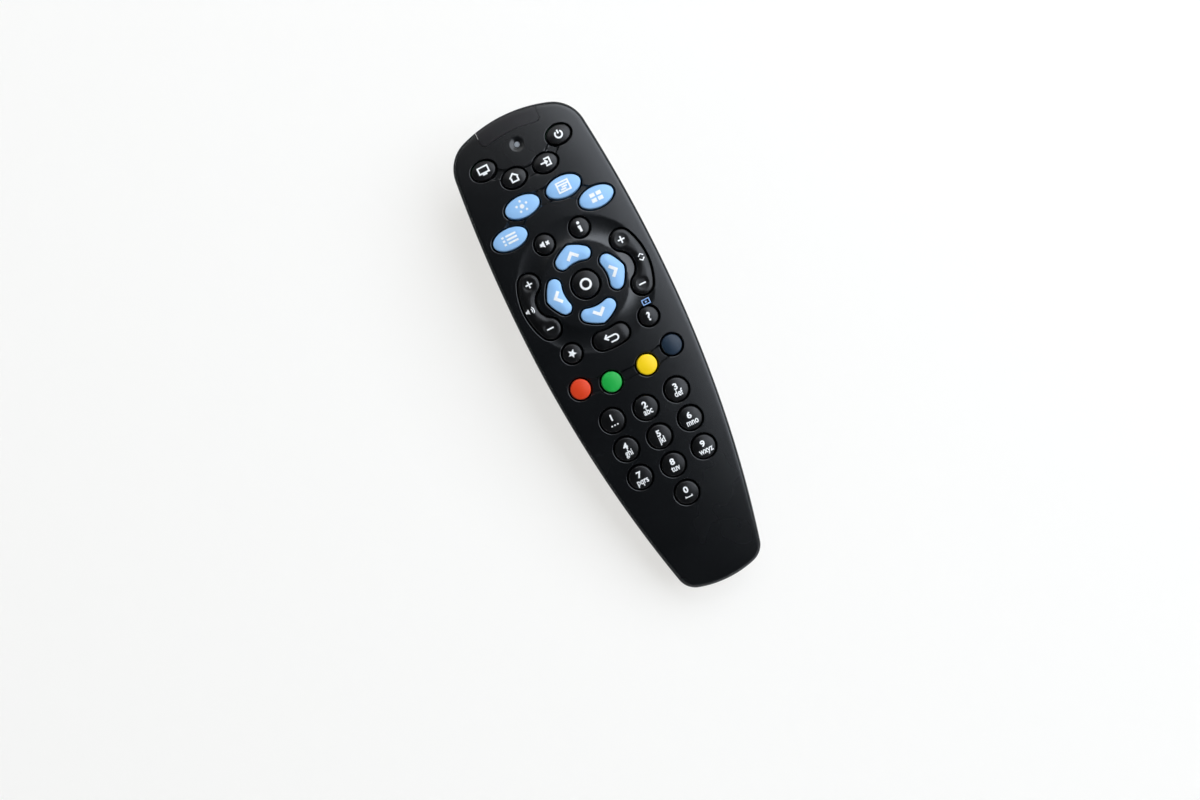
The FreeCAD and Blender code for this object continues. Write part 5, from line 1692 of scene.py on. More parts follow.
@dataclass
class LowerShell:
    """Back of the case: battery hump, finger scoop, tail, and the bay under the cover."""

    border: float = 7.7
    inner_border: float = 8.1
    side_wall: float = 1.9
    back_wall: float = 2.2
    steps: int = 8
    seam_bevel: float = 0.14
    lip_height: float = 1.2
    lip_inset: float = 1.1
    bay_wall: float = 1.4
    bay_half: float = 15.05
    bay_ends: tuple[float, float] = (14.95, 71.85)
    bay_foot: float = 1.1
    bay_top: float = 16.9
    slot_low: float = 0.98
    slot_top: float = 1.92
    slot_overlap: float = 1.0
    below_table: float = -40.0
    beyond_tail: float = -30.0
    flank_near: float = 3.0
    round_share: float = 0.72
    floor_pitch: float = 2.2
    floor_clear: float = 0.9

    def skin(self, base: float, floor_inset: float, border: float, bevel: float
             ) -> list[np.ndarray]:
        """Rings from the parting line down the flank and round its corner to the floor.

        Args:
            base: Inset of the wall at the parting line.
            floor_inset: How far the floor lies inside the back.
            border: Inset of the last ring.
            bevel: Small bevel at the parting line.

        Returns:
            The rings, from the top down.
        """
        loop = CASE.outline()

        def depth(inset: float) -> np.ndarray:
            """Depth of the back below the parting line at an inset from the outline."""
            return -BACK.floor(loop.grown(-inset)[:, 1], floor_inset)

        near, far = self.flank_near, border
        slope = (depth(far) - depth(near)) / (far - near)
        start = depth(near) - slope * (near - base)
        radius = np.minimum(BACK.edge_round - floor_inset / 2, start * self.round_share)
        rings = [plan3(loop.grown(-base - bevel), 0.0), plan3(loop.grown(-base), -bevel)]
        for inset, height in fillet_section(BACK.draft, start, slope, radius, self.steps):
            plan = loop.points - loop.normals * (inset + base)[:, None]
            rings.append(plan3(plan, -height))
        last = loop.grown(-border)
        rings.append(plan3(last, BACK.floor(last[:, 1], floor_inset)))
        return rings

    def floor(self, solid: Solid, ring: np.ndarray, floor_inset: float, outward: bool) -> None:
        """Fills the floor inside its last ring."""
        border = np.vstack(solid.vertices)[ring][:, :2]
        inner = inner_grid(border, self.floor_pitch, self.floor_clear)
        solid.cover([ring], inner, lambda plan: BACK.floor(plan[:, 1], floor_inset), outward)

    def build(self, pane: WindowPane) -> bpy.types.Object:
        """Makes the back and puts it on the case.

        Args:
            pane: The window that the back leaves room for.

        Returns:
            The finished piece.
        """
        solid = Solid()
        outer = [solid.add(ring) for ring in self.skin(0.0, 0.0, self.border, self.seam_bevel)]
        solid.bands(outer, flip=True)
        self.floor(solid, outer[-1], 0.0, outward=True)
        loop = CASE.outline()
        lip = [
            outer[0],
            solid.add(plan3(loop.grown(-self.lip_inset), 0.0)),
            solid.add(plan3(loop.grown(-self.lip_inset), self.lip_height)),
            solid.add(plan3(loop.grown(-self.side_wall), self.lip_height)),
        ]
        inner = [
            solid.add(ring) for ring in
            self.skin(self.side_wall, self.back_wall, self.inner_border, 0.0)[1:]
        ]
        solid.bands(lip + inner)
        self.floor(solid, inner[-1], self.back_wall, outward=False)
        shell = solid.mesh("back_shell")
        low, high = self.bay_ends
        wall, half = self.bay_wall, self.bay_half
        bay = box_solid("bay", (-half - wall, low - wall, self.bay_foot),
                        (half + wall, high + wall, self.bay_top + wall))
        shell = carve(shell, bay, "UNION")
        cover = BatteryCover()
        gap = cover.gap
        plate, rail, tongue = cover.half + gap, cover.half + cover.rail + gap, cover.tongue + gap
        below, tail, foot, top = self.below_table, self.beyond_tail, self.slot_low, self.slot_top
        cutters = (
            ((-half, low, below), (half, high, self.bay_top)),
            ((-plate, tail, below), (plate, cover.head + gap, top)),
            ((-rail, tail, foot), (rail, cover.rail_head + gap, top)),
            ((-tongue, cover.head - self.slot_overlap, foot),
             (tongue, cover.head + cover.tongue_reach + gap, top)),
        )
        for place, (lower, upper) in enumerate(cutters):
            shell = carve(shell, box_solid(f"bay_cut_{place}", lower, upper), "DIFFERENCE")
        shell = carve(shell, pane.zone(pane.gap), "DIFFERENCE")
        shell.name = "back_shell"
        shade(shell, crease=32.0)
        WARDROBE.place(shell, "case", "back_plastic", nodes=["lower_shell"])
        return shell


@dataclass
class BatteryCover:
    """Sliding cover: bevelled plate, rails, tongue and a ribbed thumb grip."""

    half: float = 17.5
    tail: float = 8.5
    head: float = 77.0
    low: float = 0.2
    high: float = 1.8
    corner: float = 3.0
    corner_step: float = 0.5
    bevel: float = 0.25
    bevel_steps: int = 3
    gap: float = 0.3
    rail: float = 1.0
    rail_low: float = 1.1
    rail_tail: float = 20.5
    rail_head: float = 71.0
    tongue: float = 6.0
    tongue_reach: float = 1.8
    tongue_root: float = 2.0
    grip_at: float = 61.0
    grip_half: float = 6.0
    grip_long: float = 10.0
    grip_deep: float = 0.5
    rib_count: int = 4
    rib_pitch: float = 2.2
    rib_width: float = 1.0

    def plate(self) -> bpy.types.Object:
        """Plate with rounded corners and softened lower edges."""
        half, corner = self.half - self.corner, self.corner
        places = (
            ((half, self.tail + corner), -90), ((half, self.head - corner), 0),
            ((-half, self.head - corner), 90), ((-half, self.tail + corner), 180),
        )
        loop = join(
            arc(centre, corner, math.radians(turn), math.radians(turn + 90), self.corner_step)
            for centre, turn in places
        )
        solid = Solid()
        rings = []
        for place in range(self.bevel_steps + 1):
            angle = math.pi / 2 * place / self.bevel_steps
            inset = self.bevel * (1 - math.sin(angle))
            rise = self.bevel * (1 - math.cos(angle))
            rings.append(solid.add(plan3(loop.grown(-inset), self.low + rise)))
        rings.append(solid.add(plan3(loop.points, self.high)))
        solid.bands(rings)
        solid.close(rings[0], flip=True)
        solid.close(rings[-1])
        return solid.mesh("cover_plate", in_case=False)

    def ribs(self) -> bpy.types.Object:
        """Ribs of the thumb grip, repeated by a node tree."""
        obj = link("grip_ribs", bpy.data.meshes.new("grip_ribs"))
        tree = RibRow().tree()
        modifier = obj.modifiers.new("ribs", "NODES")
        modifier.node_group = tree
        values = {
            "Count": self.rib_count, "Pitch": self.rib_pitch * MM,
            "Length": 2 * self.grip_half * MM, "Width": self.rib_width * MM,
            "Height": self.grip_deep * MM,
            "Middle": (0.0, self.grip_at * MM, (self.low + self.grip_deep / 2) * MM),
            "Finish": WARDROBE.material(FINISHES["cover_plastic"]),
        }
        for item in tree.interface.items_tree:
            if item.in_out == "INPUT" and item.name in values:
                modifier[item.identifier] = values[item.name]
        return evaluated(obj, "grip_ribs")

    def build(self) -> bpy.types.Object:
        """Makes the cover and its ribs and puts them on their own body."""
        cover = self.plate()
        parts = (
            ((-self.half - self.rail, self.rail_tail, self.rail_low),
             (self.half + self.rail, self.rail_head, self.high)),
            ((-self.tongue, self.head - self.tongue_root, self.rail_low),
             (self.tongue, self.head + self.tongue_reach, self.high)),
        )
        for place, (low, high) in enumerate(parts):
            cover = carve(cover, box_solid(f"cover_part_{place}", low, high), "UNION")
        grip = box_solid(
            "grip", (-self.grip_half, self.grip_at - self.grip_long / 2, -1.0),
            (self.grip_half, self.grip_at + self.grip_long / 2, self.low + self.grip_deep),
        )
        cover = carve(cover, grip, "DIFFERENCE")
        cover.name = "sliding_cover"
        shade(cover, crease=30.0)
        WARDROBE.place(cover, "battery_cover", "cover_plastic", nodes=["battery_cover"])
        ribs = self.ribs()
        shade(ribs, crease=40.0)
        WARDROBE.place(ribs, "battery_cover", "cover_plastic")
        return cover


@dataclass
class RibRow:
    """Node tree that repeats a rounded rib along Y."""

    sides: int = 12

    def tree(self) -> bpy.types.NodeTree:
        """Builds the tree with named inputs for count, pitch and sizes."""
        tree = bpy.data.node_groups.new("rib_row", "GeometryNodeTree")
        sockets = (
            ("Count", "NodeSocketInt"), ("Pitch", "NodeSocketFloat"),
            ("Length", "NodeSocketFloat"), ("Width", "NodeSocketFloat"),
            ("Height", "NodeSocketFloat"),
            ("Middle", "NodeSocketVector"), ("Finish", "NodeSocketMaterial"),
        )
        for name, kind in sockets:
            tree.interface.new_socket(name=name, in_out="INPUT", socket_type=kind)
        tree.interface.new_socket(
            name="Geometry", in_out="OUTPUT", socket_type="NodeSocketGeometry")
        given = add_node(tree, "NodeGroupInput").outputs
        gaps = maths(tree, "SUBTRACT", given["Count"], 1.0)
        span = maths(tree, "MULTIPLY", gaps, given["Pitch"])
        back = maths(tree, "MULTIPLY", span, -0.5)
        first = add_node(tree, "ShaderNodeCombineXYZ", {"Y": back})
        start = add_node(
            tree, "ShaderNodeVectorMath", {0: given["Middle"], 1: first.outputs[0]},
            operation="ADD")
        step = add_node(tree, "ShaderNodeCombineXYZ", {"Y": given["Pitch"]})
        line = add_node(
            tree, "GeometryNodeMeshLine",
            {"Count": given["Count"], "Start Location": start.outputs[0],
             "Offset": step.outputs[0]}, mode="OFFSET")
        rib = add_node(
            tree, "GeometryNodeMeshCylinder",
            {"Vertices": self.sides, "Radius": 0.5, "Depth": 1.0})
        turned = add_node(
            tree, "GeometryNodeTransform",
            {"Geometry": rib.outputs["Mesh"], "Rotation": (0.0, math.pi / 2, 0.0)})
        scale = add_node(
            tree, "ShaderNodeCombineXYZ",
            {"X": given["Length"], "Y": given["Width"], "Z": given["Height"]})
        sized = add_node(
            tree, "GeometryNodeTransform",
            {"Geometry": turned.outputs["Geometry"], "Scale": scale.outputs[0]})
        placed = add_node(
            tree, "GeometryNodeInstanceOnPoints",
            {"Points": line.outputs["Mesh"], "Instance": sized.outputs["Geometry"]})
        real = add_node(
            tree, "GeometryNodeRealizeInstances", {"Geometry": placed.outputs["Instances"]})
        dressed = add_node(
            tree, "GeometryNodeSetMaterial",
            {"Geometry": real.outputs["Geometry"], "Material": given["Finish"]})
        add_node(tree, "NodeGroupOutput", {"Geometry": dressed.outputs["Geometry"]})
        return tree


@dataclass
class KeyCap:
    """Silicone key with a rounded edge and a gently domed top."""

    plan: KeyPlan
    bottom: float = 3.62
    edge_round: float = 0.65
    edge_steps: int = 5
    proud: float = 0.95
    rise: float = 0.42
    pitch: float = 0.55
    clear: float = 0.45
    pad_radius: float = 3.1
    pad_depth: float = 0.34
    pad_blend: float = 0.45

    @property
    def is_rocker(self) -> bool:
        """True for the two keys that tilt."""
        return self.plan.name in ("key_channel", "key_volume")

    def pads(self) -> list[np.ndarray]:
        """Middles of the finger pads at the ends of a rocker."""
        side = math.copysign(1.0, self.plan.centre[0])
        span = LAYOUT.rocker_span
        return [
            np.array((side * LAYOUT.rocker_path * math.cos(span),
                      LAYOUT.nav_at + end * LAYOUT.rocker_path * math.sin(span)))
            for end in (1, -1)
        ]

    def top(self, plan: np.ndarray) -> np.ndarray:
        """Height of the key's top over plan points.

        Args:
            plan: Array of shape (n, 2).

        Returns:
            Array of n heights.
        """
        inset = nearest(plan, self.plan.loop.grown(0.0)) - self.edge_round
        share = np.clip(inset / (self.plan.reach - self.edge_round), 0.0, 1.0)
        height = CASE.crown(plan) + self.proud - self.rise * (1 - share) ** 2
        if self.is_rocker:
            for pad in self.pads():
                off = np.hypot(*(plan - pad).T) / self.pad_radius
                hollow = self.pad_depth * smooth_step((1 - off) / self.pad_blend)
                height = height - hollow * (off < 1)
        return height

    def build(self) -> bpy.types.Object:
        """Makes the cap, closed all round."""
        loop = self.plan.loop
        rings = [plan3(loop.points, self.bottom)]
        shoulder = loop.grown(-self.edge_round)
        height = CASE.crown(shoulder) + self.proud - self.rise
        for place in range(self.edge_steps + 1):
            angle = math.pi / 2 * place / self.edge_steps
            inset = self.edge_round * (1 - math.cos(angle))
            drop = self.edge_round * (1 - math.sin(angle))
            rings.append(plan3(loop.grown(-inset), height - drop))
        solid = Solid()
        made = [solid.add(ring) for ring in rings]
        solid.bands(made)
        inner = inner_grid(shoulder, self.pitch, self.pitch * self.clear)
        solid.cover([made[-1]], inner, self.top)
        _, rows = fill(loop.points, [], np.empty((0, 2)))
        solid.triangles(made[0][rows], flip=True)
        cap = solid.mesh(f"{self.plan.name}_cap")
        shade(cap, crease=50.0)
        name = self.plan.name
        WARDROBE.place(cap, name, self.plan.colour.value, nodes=[name])
        return cap


# Legends: generic signs and plain figures, drawn as thin films of ink on the keys

Stroke = Sequence[tuple[float, float]]

# Height of a capital of Blender's own typeface, as a share of its size
CAPITAL_HEIGHT = 0.7

# Longest piece of a drawn circle, in degrees, and the least number of pieces of an arc
CIRCLE_STEP, CIRCLE_PIECES = 12, 8

# Least squared length taken for the mean of two sides, so that no sharp bend runs out far
MITRE_LEAST = 0.25


@dataclass(frozen=True)
class Word:
    """Letters or a figure: text, height, middle of its foot, stretch in width and weight."""

    text: str
    height: float
    foot: tuple[float, float]
    stretch: float = 1.0
    weight: float = 0.1


@dataclass
class Sign:
    """Flat sign in millimetres about its own middle: strokes of one width, filled shapes, text."""

    strokes: list[Stroke] = field(default_factory=list)
    shapes: list[Stroke] = field(default_factory=list)
    words: list[Word] = field(default_factory=list)
    width: float = 0.34

    @staticmethod
    def circle(centre: tuple[float, float], radius: float, start: float = 0.0,
               end: float = 360.0) -> Stroke:
        """Points along a circle or an arc between two angles in degrees.

        Args:
            centre: Its middle.
            radius: Its radius.
            start: Angle of its first point.
            end: Angle of its last point.

        Returns:
            The points in order.
        """
        count = max(CIRCLE_PIECES, int(abs(end - start) / CIRCLE_STEP))
        angles = [math.radians(start + (end - start) * place / count)
                  for place in range(count + 1)]
        return [
            (centre[0] + radius * math.cos(angle), centre[1] + radius * math.sin(angle))
            for angle in angles
        ]

    def outline_of_stroke(self, stroke: Stroke) -> np.ndarray:
        """Closed outline of a stroke with square ends and mitred bends.

        Args:
            stroke: Points that the stroke runs through.

        Returns:
            Array of shape (2 n, 2): one side, then the other one back.
        """
        points = np.array(stroke, float)
        run = np.diff(points, axis=0)
        run /= np.hypot(run[:, 0], run[:, 1])[:, None]
        side = np.column_stack((-run[:, 1], run[:, 0]))
        first, last = side[0], side[-1]
        if np.hypot(*(points[0] - points[-1])) < 1e-6:
            first = last = (first + last) / 2
        mitre = np.vstack((first, (side[1:] + side[:-1]) / 2, last))
        square = (mitre**2).sum(axis=1)
        mitre = mitre / np.maximum(square, MITRE_LEAST)[:, None]
        half = self.width / 2
        return np.vstack((points + mitre * half, (points - mitre * half)[::-1]))

    def flat(self) -> list[tuple[np.ndarray, list[tuple[int, ...]]]]:
        """Points and faces of each part of the sign."""
        found = []
        for stroke in self.strokes:
            outline = self.outline_of_stroke(stroke)
            count = len(stroke)
            faces = [(place + 1, place, 2 * count - 1 - place, 2 * count - 2 - place)
                     for place in range(count - 1)]
            found.append((outline, faces))
        for shape in self.shapes:
            points = np.array(shape, float)
            found.append((points, [tuple(range(len(points)))]))
        found.extend(self.letters(word) for word in self.words)
        return found

    @staticmethod
    def letters(word: Word) -> tuple[np.ndarray, list[tuple[int, ...]]]:
        """Flat letters of Blender's own typeface.

        Args:
            word: What is written, and how.

        Returns:
            Points and faces.
        """
        curve = bpy.data.curves.new("letters", "FONT")
        curve.body = word.text
        curve.size = word.height / CAPITAL_HEIGHT
        curve.offset = word.weight
        curve.resolution_u = 3
        obj = link("letters", curve)
        mesh = bpy.data.meshes.new_from_object(
            obj.evaluated_get(bpy.context.evaluated_depsgraph_get()))
        points = np.array([vertex.co[:2] for vertex in mesh.vertices])
        faces = [tuple(polygon.vertices) for polygon in mesh.polygons]
        bpy.data.objects.remove(obj)
        bpy.data.curves.remove(curve)
        bpy.data.meshes.remove(mesh)
        points[:, 0] -= (points[:, 0].min() + points[:, 0].max()) / 2
        return points * (word.stretch, 1.0) + np.array(word.foot), faces


def scaled(sign: Sign, share: float) -> Sign:
    """A sign drawn larger or smaller, its strokes with it.

    Args:
        sign: The sign.
        share: How many times as large it becomes.

    Returns:
        A new sign.
    """
    return Sign(
        strokes=[[(x * share, y * share) for x, y in stroke] for stroke in sign.strokes],
        shapes=[[(x * share, y * share) for x, y in shape] for shape in sign.shapes],
        words=[Word(word.text, word.height * share, (word.foot[0] * share, word.foot[1] * share),
                    word.stretch, word.weight * share) for word in sign.words],
        width=sign.width * share,
    )


@dataclass
class Film:
    """Thin film of ink that follows a surface."""

    thickness: float = 0.09
    above: float = 0.04
    longest: float = 0.7
    rounds: int = 3
    weld: float = 1e-4

    def build(self, name: str, sign: Sign, centre: Sequence[float], surface: Height
              ) -> bpy.types.Object:
        """Lays a sign on a surface.

        Args:
            name: Name of the piece.
            sign: What is printed.
            centre: Plan place of its middle.
            surface: Gives the height under plan points.

        Returns:
            The film as a closed mesh in the row frame.
        """
        bm = bmesh.new()
        for points, faces in sign.flat():
            vertices = [bm.verts.new((x, y, 0.0)) for x, y in points]
            for face in faces:
                bm.faces.new([vertices[place] for place in face])
        bmesh.ops.remove_doubles(bm, verts=bm.verts, dist=self.weld)
        bmesh.ops.triangulate(bm, faces=bm.faces)
        for _ in range(self.rounds):
            long = [edge for edge in bm.edges if edge.calc_length() > self.longest]
            if not long:
                break
            bmesh.ops.subdivide_edges(bm, edges=long, cuts=1)
            bmesh.ops.triangulate(bm, faces=bm.faces)
        for face in bm.faces:
            if face.normal.z < 0:
                face.normal_flip()
        made = bmesh.ops.extrude_face_region(bm, geom=list(bm.faces))
        raised = {item for item in made["geom"] if isinstance(item, bmesh.types.BMVert)}
        plan = np.array([vertex.co[:2] for vertex in bm.verts]) + np.array(centre)
        height = surface(plan)
        lift = np.array([
            self.above if vertex in raised else self.above - self.thickness for vertex in bm.verts
        ])
        row = LEAN.to_row(plan3(plan, height + lift))
        for vertex, place in zip(bm.verts, row):
            vertex.co = place
        bmesh.ops.recalc_face_normals(bm, faces=bm.faces)
        data = bpy.data.meshes.new(name)
        bm.to_mesh(data)
        bm.free()
        return link(name, data)


@dataclass
class Legends:
    """Every print on the keys and beside them."""

    ink: float = 0.56
    large: float = 1.3
    wide: float = 1.55
    bar_half: float = 1.35
    chevron_at: float = 11.9
    rocker_sign_at: float = 23.4
    beside_help_at: tuple[float, float] = (17.7, 12.6)

    def chevron(self, turn: float) -> Sign:
        """Arrow head of an arrow key, turned by degrees.

        Args:
            turn: Turn of its tip from +Y, anticlockwise.

        Returns:
            The sign.
        """
        angle = math.radians(turn)
        points = []
        for x, y in ((-2.2, -1.25), (0.0, 0.85), (2.2, -1.25)):
            points.append((x * math.cos(angle) - y * math.sin(angle),
                           x * math.sin(angle) + y * math.cos(angle)))
        return Sign(strokes=[points], width=1.2)

    def plus(self) -> Sign:
        """Plus sign."""
        half = self.bar_half
        return Sign(strokes=[[(-half, 0), (half, 0)], [(0, -half), (0, half)]], width=self.ink)

    def minus(self) -> Sign:
        """Minus sign."""
        half = self.bar_half
        return Sign(strokes=[[(-half, 0), (half, 0)]], width=self.ink)

    def signs(self) -> dict[str, Sign]:
        """Signs of the keys that carry neither a figure nor an arrow."""
        ink = self.ink
        circle = Sign.circle
        return {
            # A screen on its stand
            "key_screen": Sign(
                strokes=[[(-1.5, -0.7), (1.5, -0.7), (1.5, 1.1), (-1.5, 1.1), (-1.5, -0.7)],
                         [(-0.7, -1.15), (0.7, -1.15)]], width=ink * 0.85),
            "key_power": Sign(
                strokes=[circle((0, -0.1), 1.05, 125, 415), [(0, 0.1), (0, 1.3)]],
                width=ink * 0.9),
            "key_home": Sign(
                strokes=[[(-1.35, 0.1), (0, 1.25), (1.35, 0.1)],
                         [(-0.95, 0.1), (-0.95, -1.1), (0.95, -1.1), (0.95, 0.1)]],
                width=ink * 0.85),
            # An arrow into a box
            "key_inputs": Sign(
                strokes=[[(-0.2, 1.05), (1.4, 1.05), (1.4, -1.05), (-0.2, -1.05)],
                         [(-1.5, 0), (0.5, 0)], [(-0.1, 0.6), (0.55, 0), (-0.1, -0.6)]],
                width=ink * 0.85),
            # A ring of five dots round a larger one
            "key_featured": Sign(
                shapes=[circle((0, 0), 0.55)[:-1]] + [
                    circle((1.35 * math.cos(math.radians(90 + 72 * place)),
                            1.35 * math.sin(math.radians(90 + 72 * place))), 0.3)[:-1]
                    for place in range(5)]),
            # A page of dates
            "key_planner": Sign(
                strokes=[[(-1.5, -1.2), (1.5, -1.2), (1.5, 1.2), (-1.5, 1.2), (-1.5, -1.2)],
                         [(-1.5, 0.5), (1.5, 0.5)], [(-0.5, -0.1), (0.9, -0.1)],
                         [(-0.9, -0.65), (0.5, -0.65)]], width=ink * 0.75),
            # Rows of a programme list
            "key_guide": Sign(
                strokes=[[(-1.9, 0.9), (-1.3, 0.9)], [(-0.8, 0.9), (1.9, 0.9)],
                         [(-1.9, 0), (-1.3, 0)], [(-0.8, 0), (1.9, 0)],
                         [(-1.9, -0.9), (-1.3, -0.9)], [(-0.8, -0.9), (1.9, -0.9)]],
                width=ink * 0.9),
            # Four tiles
            "key_extras": Sign(
                shapes=[[(x, y), (x + 1.3, y), (x + 1.3, y + 0.95), (x, y + 0.95)]
                        for x in (-1.5, 0.2) for y in (-1.15, 0.2)]),
            # A loudspeaker with a cross
            "key_mute": Sign(
                strokes=[[(0.5, 0.5), (1.4, -0.5)], [(0.5, -0.5), (1.4, 0.5)]],
                shapes=[[(-1.4, -0.42), (-0.85, -0.42), (-0.05, -1.0), (-0.05, 1.0),
                         (-0.85, 0.42), (-1.4, 0.42)]], width=ink * 0.8),
            "key_info": Sign(
                strokes=[[(-0.5, 0.05), (0.05, 0.05), (0.05, -1.45)]],
                shapes=[circle((0.05, 1.3), 0.45)[:-1]], width=ink * 1.3),
            "key_select": Sign(strokes=[circle((0, 0), 1.45)], width=ink * 1.15),
            # An arrow that turns back
            "key_back": Sign(
                strokes=[[(-1.1, 1.35), (-2.0, 0.5), (-1.1, -0.35)],
                         [(-1.75, 0.5)] + circle((1.0, -0.35), 0.85, 90, -90) + [(-0.7, -1.2)]],
                width=ink * 0.85),
            "key_favourites": Sign(shapes=[self.star()]),
            "key_help": Sign(words=[Word("?", 2.5, (0.0, -1.25), 1.1, 0.09)]),
        }

    def star(self) -> Stroke:
        """Five-pointed star."""
        points = []
        for place in range(10):
            reach = 0.62 * (1 + place % 2 * 1.25)
            angle = math.radians(180 + 36 * place)
            points.append((reach * math.sin(angle), -reach * math.cos(angle)))
        return points[::-1]

    def digits(self) -> dict[str, Sign]:
        """Plain figures with the letters that every dial gives them."""
        groups = ("", "", "abc", "def", "ghi", "jkl", "mno", "pqrs", "tuv", "wxyz")
        found = {}
        for digit, group in enumerate(groups):
            sign = Sign(words=[Word(str(digit), 2.35, (-0.1, 0.15), 1.12, 0.12)], width=0.45)
            if group:
                sign.words.append(Word(group, 2.5, (0.1, -2.65), 0.76, 0.09))
            elif digit == 1:
                sign.shapes = [Sign.circle((x, -1.9), 0.32)[:-1] for x in (-1.2, 0.0, 1.2)]
            else:
                sign.strokes = [[(-1.3, -1.2), (-1.3, -1.8), (1.3, -1.8), (1.3, -1.2)]]
            found[f"key_{digit}"] = sign
        return found

    def build(self) -> int:
        """Prints every legend and tells how many there are."""
        on_wide = {plan.name for plan in KEYS if plan.colour is KeyColour.PALE_BLUE}
        drawn = {name: scaled(sign, self.wide if name in on_wide else self.large)
                 for name, sign in self.signs().items()}
        drawn.update(self.digits())
        film = Film()
        count = 0
        nav = np.array((0.0, LAYOUT.nav_at))
        for plan in KEYS:
            cap = KeyCap(plan)
            items: list[tuple[str, Sign, Sequence[float]]] = []
            if plan.name in drawn:
                items.append((plan.name, drawn[plan.name], plan.centre))
            elif cap.is_rocker:
                for label, sign, pad in zip(("plus", "minus"), (self.plus(), self.minus()),
                                            cap.pads()):
                    items.append((f"{plan.name}_{label}", sign, pad))
                middle = (math.copysign(self.rocker_sign_at, plan.centre[0]), LAYOUT.nav_at)
                sign = scaled(self.rocker_sign(plan.name), self.large)
                items.append((f"{plan.name}_sign", sign, middle))
            elif plan.name in ARROW_TURNS:
                away = np.array(plan.centre) - nav
                middle = nav + away / np.hypot(*away) * self.chevron_at
                items.append((plan.name, self.chevron(ARROW_TURNS[plan.name]), middle))
            for label, sign, centre in items:
                print_film = film.build(f"print_{label}", sign, centre, cap.top)
                WARDROBE.place(print_film, plan.name, plan.colour.value, finish=WHITE_PRINT)
                count += 1
        beside = film.build(
            "print_beside_help",
            Sign(strokes=[[(-1.4, -0.95), (1.4, -0.95), (1.4, 0.95), (-1.4, 0.95), (-1.4, -0.95)]],
                 shapes=[[(-0.4, -0.5), (0.6, 0.0), (-0.4, 0.5)]], width=0.4),
            self.beside_help_at, RELIEF.top,
        )
        WARDROBE.place(beside, "case", "face_plastic", finish=BLUE_PRINT)
        return count + 1

    def rocker_sign(self, name: str) -> Sign:
        """Sign between plus and minus: a pair of arrow heads, or sound from a loudspeaker.

        Args:
            name: Name of the key.

        Returns:
            The sign.
        """
        if name == "key_channel":
            return Sign(strokes=[[(-0.8, 0.35), (0, 1.05), (0.8, 0.35)],
                                 [(-0.8, -0.35), (0, -1.05), (0.8, -0.35)]], width=0.3)
        return Sign(
            strokes=[Sign.circle((-0.1, 0), 0.75, -45, 45), Sign.circle((-0.1, 0), 1.3, -45, 45)],
            shapes=[[(-1.4, -0.35), (-0.95, -0.35), (-0.3, -0.85), (-0.3, 0.85), (-0.95, 0.35),
                     (-1.4, 0.35)]], width=0.26)


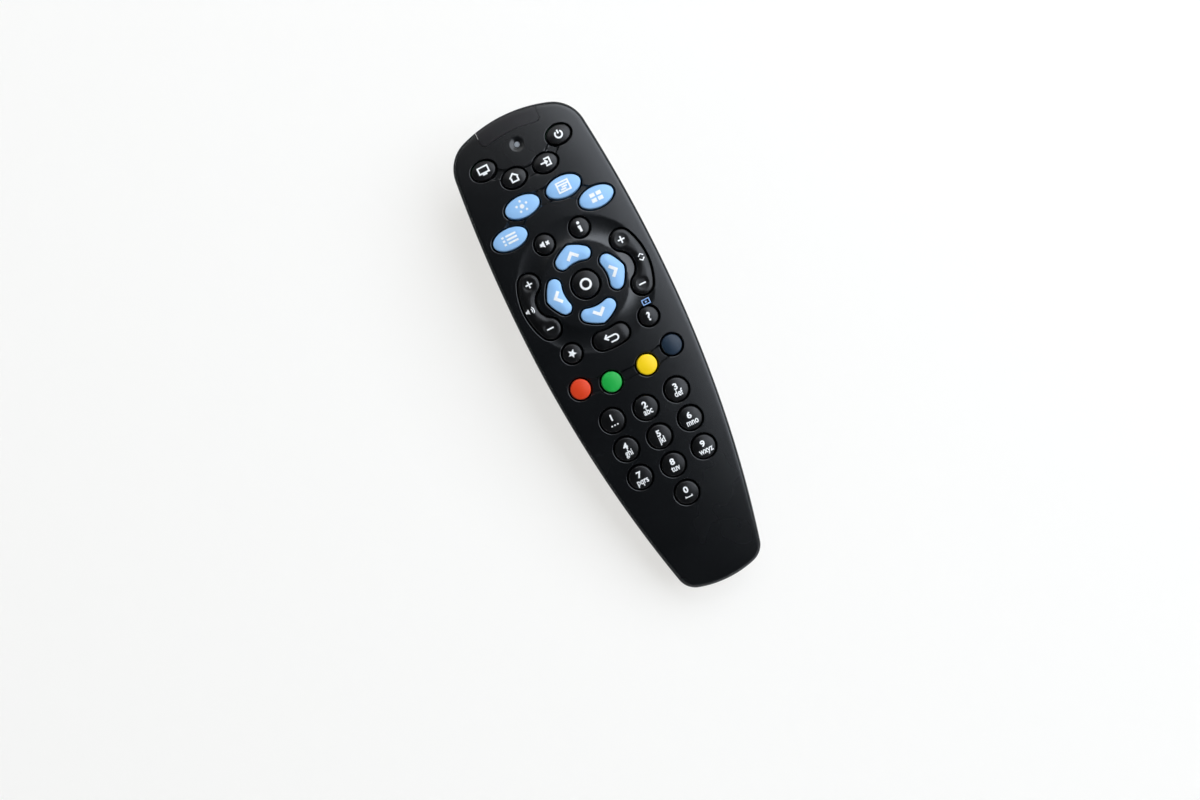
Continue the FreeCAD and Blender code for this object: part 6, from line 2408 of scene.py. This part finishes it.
@dataclass
class Studio:
    """Floor, soft light and the camera of the photograph."""

    camera_at: tuple[float, float, float] = (-14.51, -13.97, 356.8)
    camera_turn: float = -26.2
    lens: float = 26.0
    sensor: float = 36.0
    floor_reach: float = 2.2
    cove: float = 0.8
    cove_steps: int = 8
    wall_height: float = 2.0
    sweep_points: int = 72
    floor_colour: str = "#FEFDFA"
    floor_gap: float = 5e-5
    floor_glow: float = 0.68
    floor_roughness: float = 0.9
    window_colour: str = "#EEF5FF"
    sky_colour: str = "#F4F6FA"
    world_light: float = 0.045
    window_power: float = 44.0
    window_size: tuple[float, float] = (2.4, 1.5)
    window_at: tuple[float, float, float] = (0.92, 0.62, 1.2)
    room_power: float = 3.6
    room_size: tuple[float, float] = (1.0, 1.0)
    room_at: tuple[float, float, float] = (-0.3, 1.0, 0.9)

    def paper(self) -> bpy.types.Material:
        """Matt white card, which the camera sees paler than it is lit."""
        material, tree, shader = start_material("white_card", {
            "Base Color": linear(self.floor_colour), "Roughness": self.floor_roughness})
        glow = add_node(tree, "ShaderNodeEmission", {"Color": linear(self.floor_colour)})
        path = add_node(tree, "ShaderNodeLightPath")
        seen = maths(tree, "MAXIMUM", path.outputs["Is Camera Ray"],
                     path.outputs["Is Transmission Ray"])
        share = maths(tree, "MULTIPLY", seen, self.floor_glow)
        mix = add_node(tree, "ShaderNodeMixShader", {
            0: share, 1: shader.outputs["BSDF"], 2: glow.outputs["Emission"]})
        tree.links.new(mix.outputs[0], tree.nodes["Material Output"].inputs["Surface"])
        return material

    def floor(self) -> None:
        """Lays a round floor whose border sweeps up into a wall."""
        section = [(self.floor_reach, -self.floor_gap)]
        for place in range(1, self.cove_steps + 1):
            turn = math.pi / 2 * place / self.cove_steps
            section.append((self.floor_reach + self.cove * math.sin(turn),
                            self.cove * (1 - math.cos(turn)) - self.floor_gap))
        section.append((self.floor_reach + self.cove, self.wall_height))
        count = self.sweep_points
        turns = [2 * math.pi * place / count for place in range(count)]
        points = [(reach * math.cos(turn), reach * math.sin(turn), height)
                  for reach, height in section for turn in turns]
        faces: list[tuple[int, ...]] = [tuple(range(count))]
        for ring in range(len(section) - 1):
            for place in range(count):
                after = (place + 1) % count
                faces.append((ring * count + after, ring * count + place,
                              (ring + 1) * count + place, (ring + 1) * count + after))
        data = bpy.data.meshes.new("floor")
        data.from_pydata(points, [], faces)
        floor = link("floor", data)
        data.materials.append(self.paper())
        shade(floor, crease=60.0)

    def camera(self) -> None:
        """Sets the camera where the photograph was taken from, looking straight down."""
        data = bpy.data.cameras.new("camera")
        data.lens = self.lens
        data.sensor_width = self.sensor
        data.clip_start = 0.01
        camera = link("camera", data)
        camera.location = Vector(self.camera_at) * MM
        camera.rotation_euler = Euler((0.0, 0.0, math.radians(self.camera_turn)))
        bpy.context.scene.camera = camera

    def lamp(self, name: str, power: float, size: Sequence[float], seen_at: Sequence[float]
             ) -> bpy.types.Light:
        """Hangs a soft light that faces the remote.

        Args:
            name: Name of the light.
            power: Its power in watts.
            size: Its level and its sloping side in metres.
            seen_at: Its place in metres to the right, up and high in the photograph's frame.

        Returns:
            The light.
        """
        turn = math.radians(self.camera_turn)
        right, up, high = seen_at
        place = (right * math.cos(turn) - up * math.sin(turn),
                 right * math.sin(turn) + up * math.cos(turn), high)
        data = bpy.data.lights.new(name, "AREA")
        data.energy = power
        data.shape = "RECTANGLE"
        data.size, data.size_y = size
        lamp = link(name, data)
        lamp.location = Vector(place)
        lamp.rotation_euler = (-Vector(place)).to_track_quat("-Z", "Y").to_euler()
        return data

    def world(self) -> None:
        """Lights the room evenly from all sides."""
        world = bpy.data.worlds.new("room")
        bpy.context.scene.world = world
        world.use_nodes = True
        tree = world.node_tree
        tree.nodes.clear()
        light = add_node(
            tree, "ShaderNodeBackground",
            {"Color": linear(self.sky_colour), "Strength": self.world_light})
        add_node(tree, "ShaderNodeOutputWorld", {"Surface": light.outputs[0]})

    def build(self) -> None:
        """Sets up floor, camera, lights and view."""
        self.floor()
        self.camera()
        window = self.lamp("window_light", self.window_power, self.window_size, self.window_at)
        window.color = linear(self.window_colour)[:3]
        self.lamp("room_light", self.room_power, self.room_size, self.room_at)
        self.world()
        bpy.context.scene.view_settings.view_transform = "Standard"


def main() -> None:
    """Builds every sub-assembly around the CAD frame."""
    logging.basicConfig(level=logging.INFO, format="%(message)s")
    log = logging.getLogger("remote")
    WARDROBE.dress_nodes()
    log.info("finishes on %d CAD nodes", len(frame["nodes"]))
    pane = WindowPane()
    shell = carve(UpperShell().build(), pane.zone(pane.gap), "DIFFERENCE")
    shell.name = "face_shell"
    shade(shell, crease=38.0)
    WARDROBE.place(shell, "case", "face_plastic", nodes=["upper_shell"])
    log.info("face shell with %d faces", len(shell.data.polygons))
    log.info("window pane with %d faces", len(pane.build().data.polygons))
    log.info("back shell with %d faces", len(LowerShell().build(pane).data.polygons))
    log.info("battery cover with %d faces", len(BatteryCover().build().data.polygons))
    for plan in KEYS:
        KeyCap(plan).build()
    log.info("%d key caps", len(KEYS))
    log.info("%d prints", Legends().build())
    Studio().build()


if __name__ == "__main__":
    main()
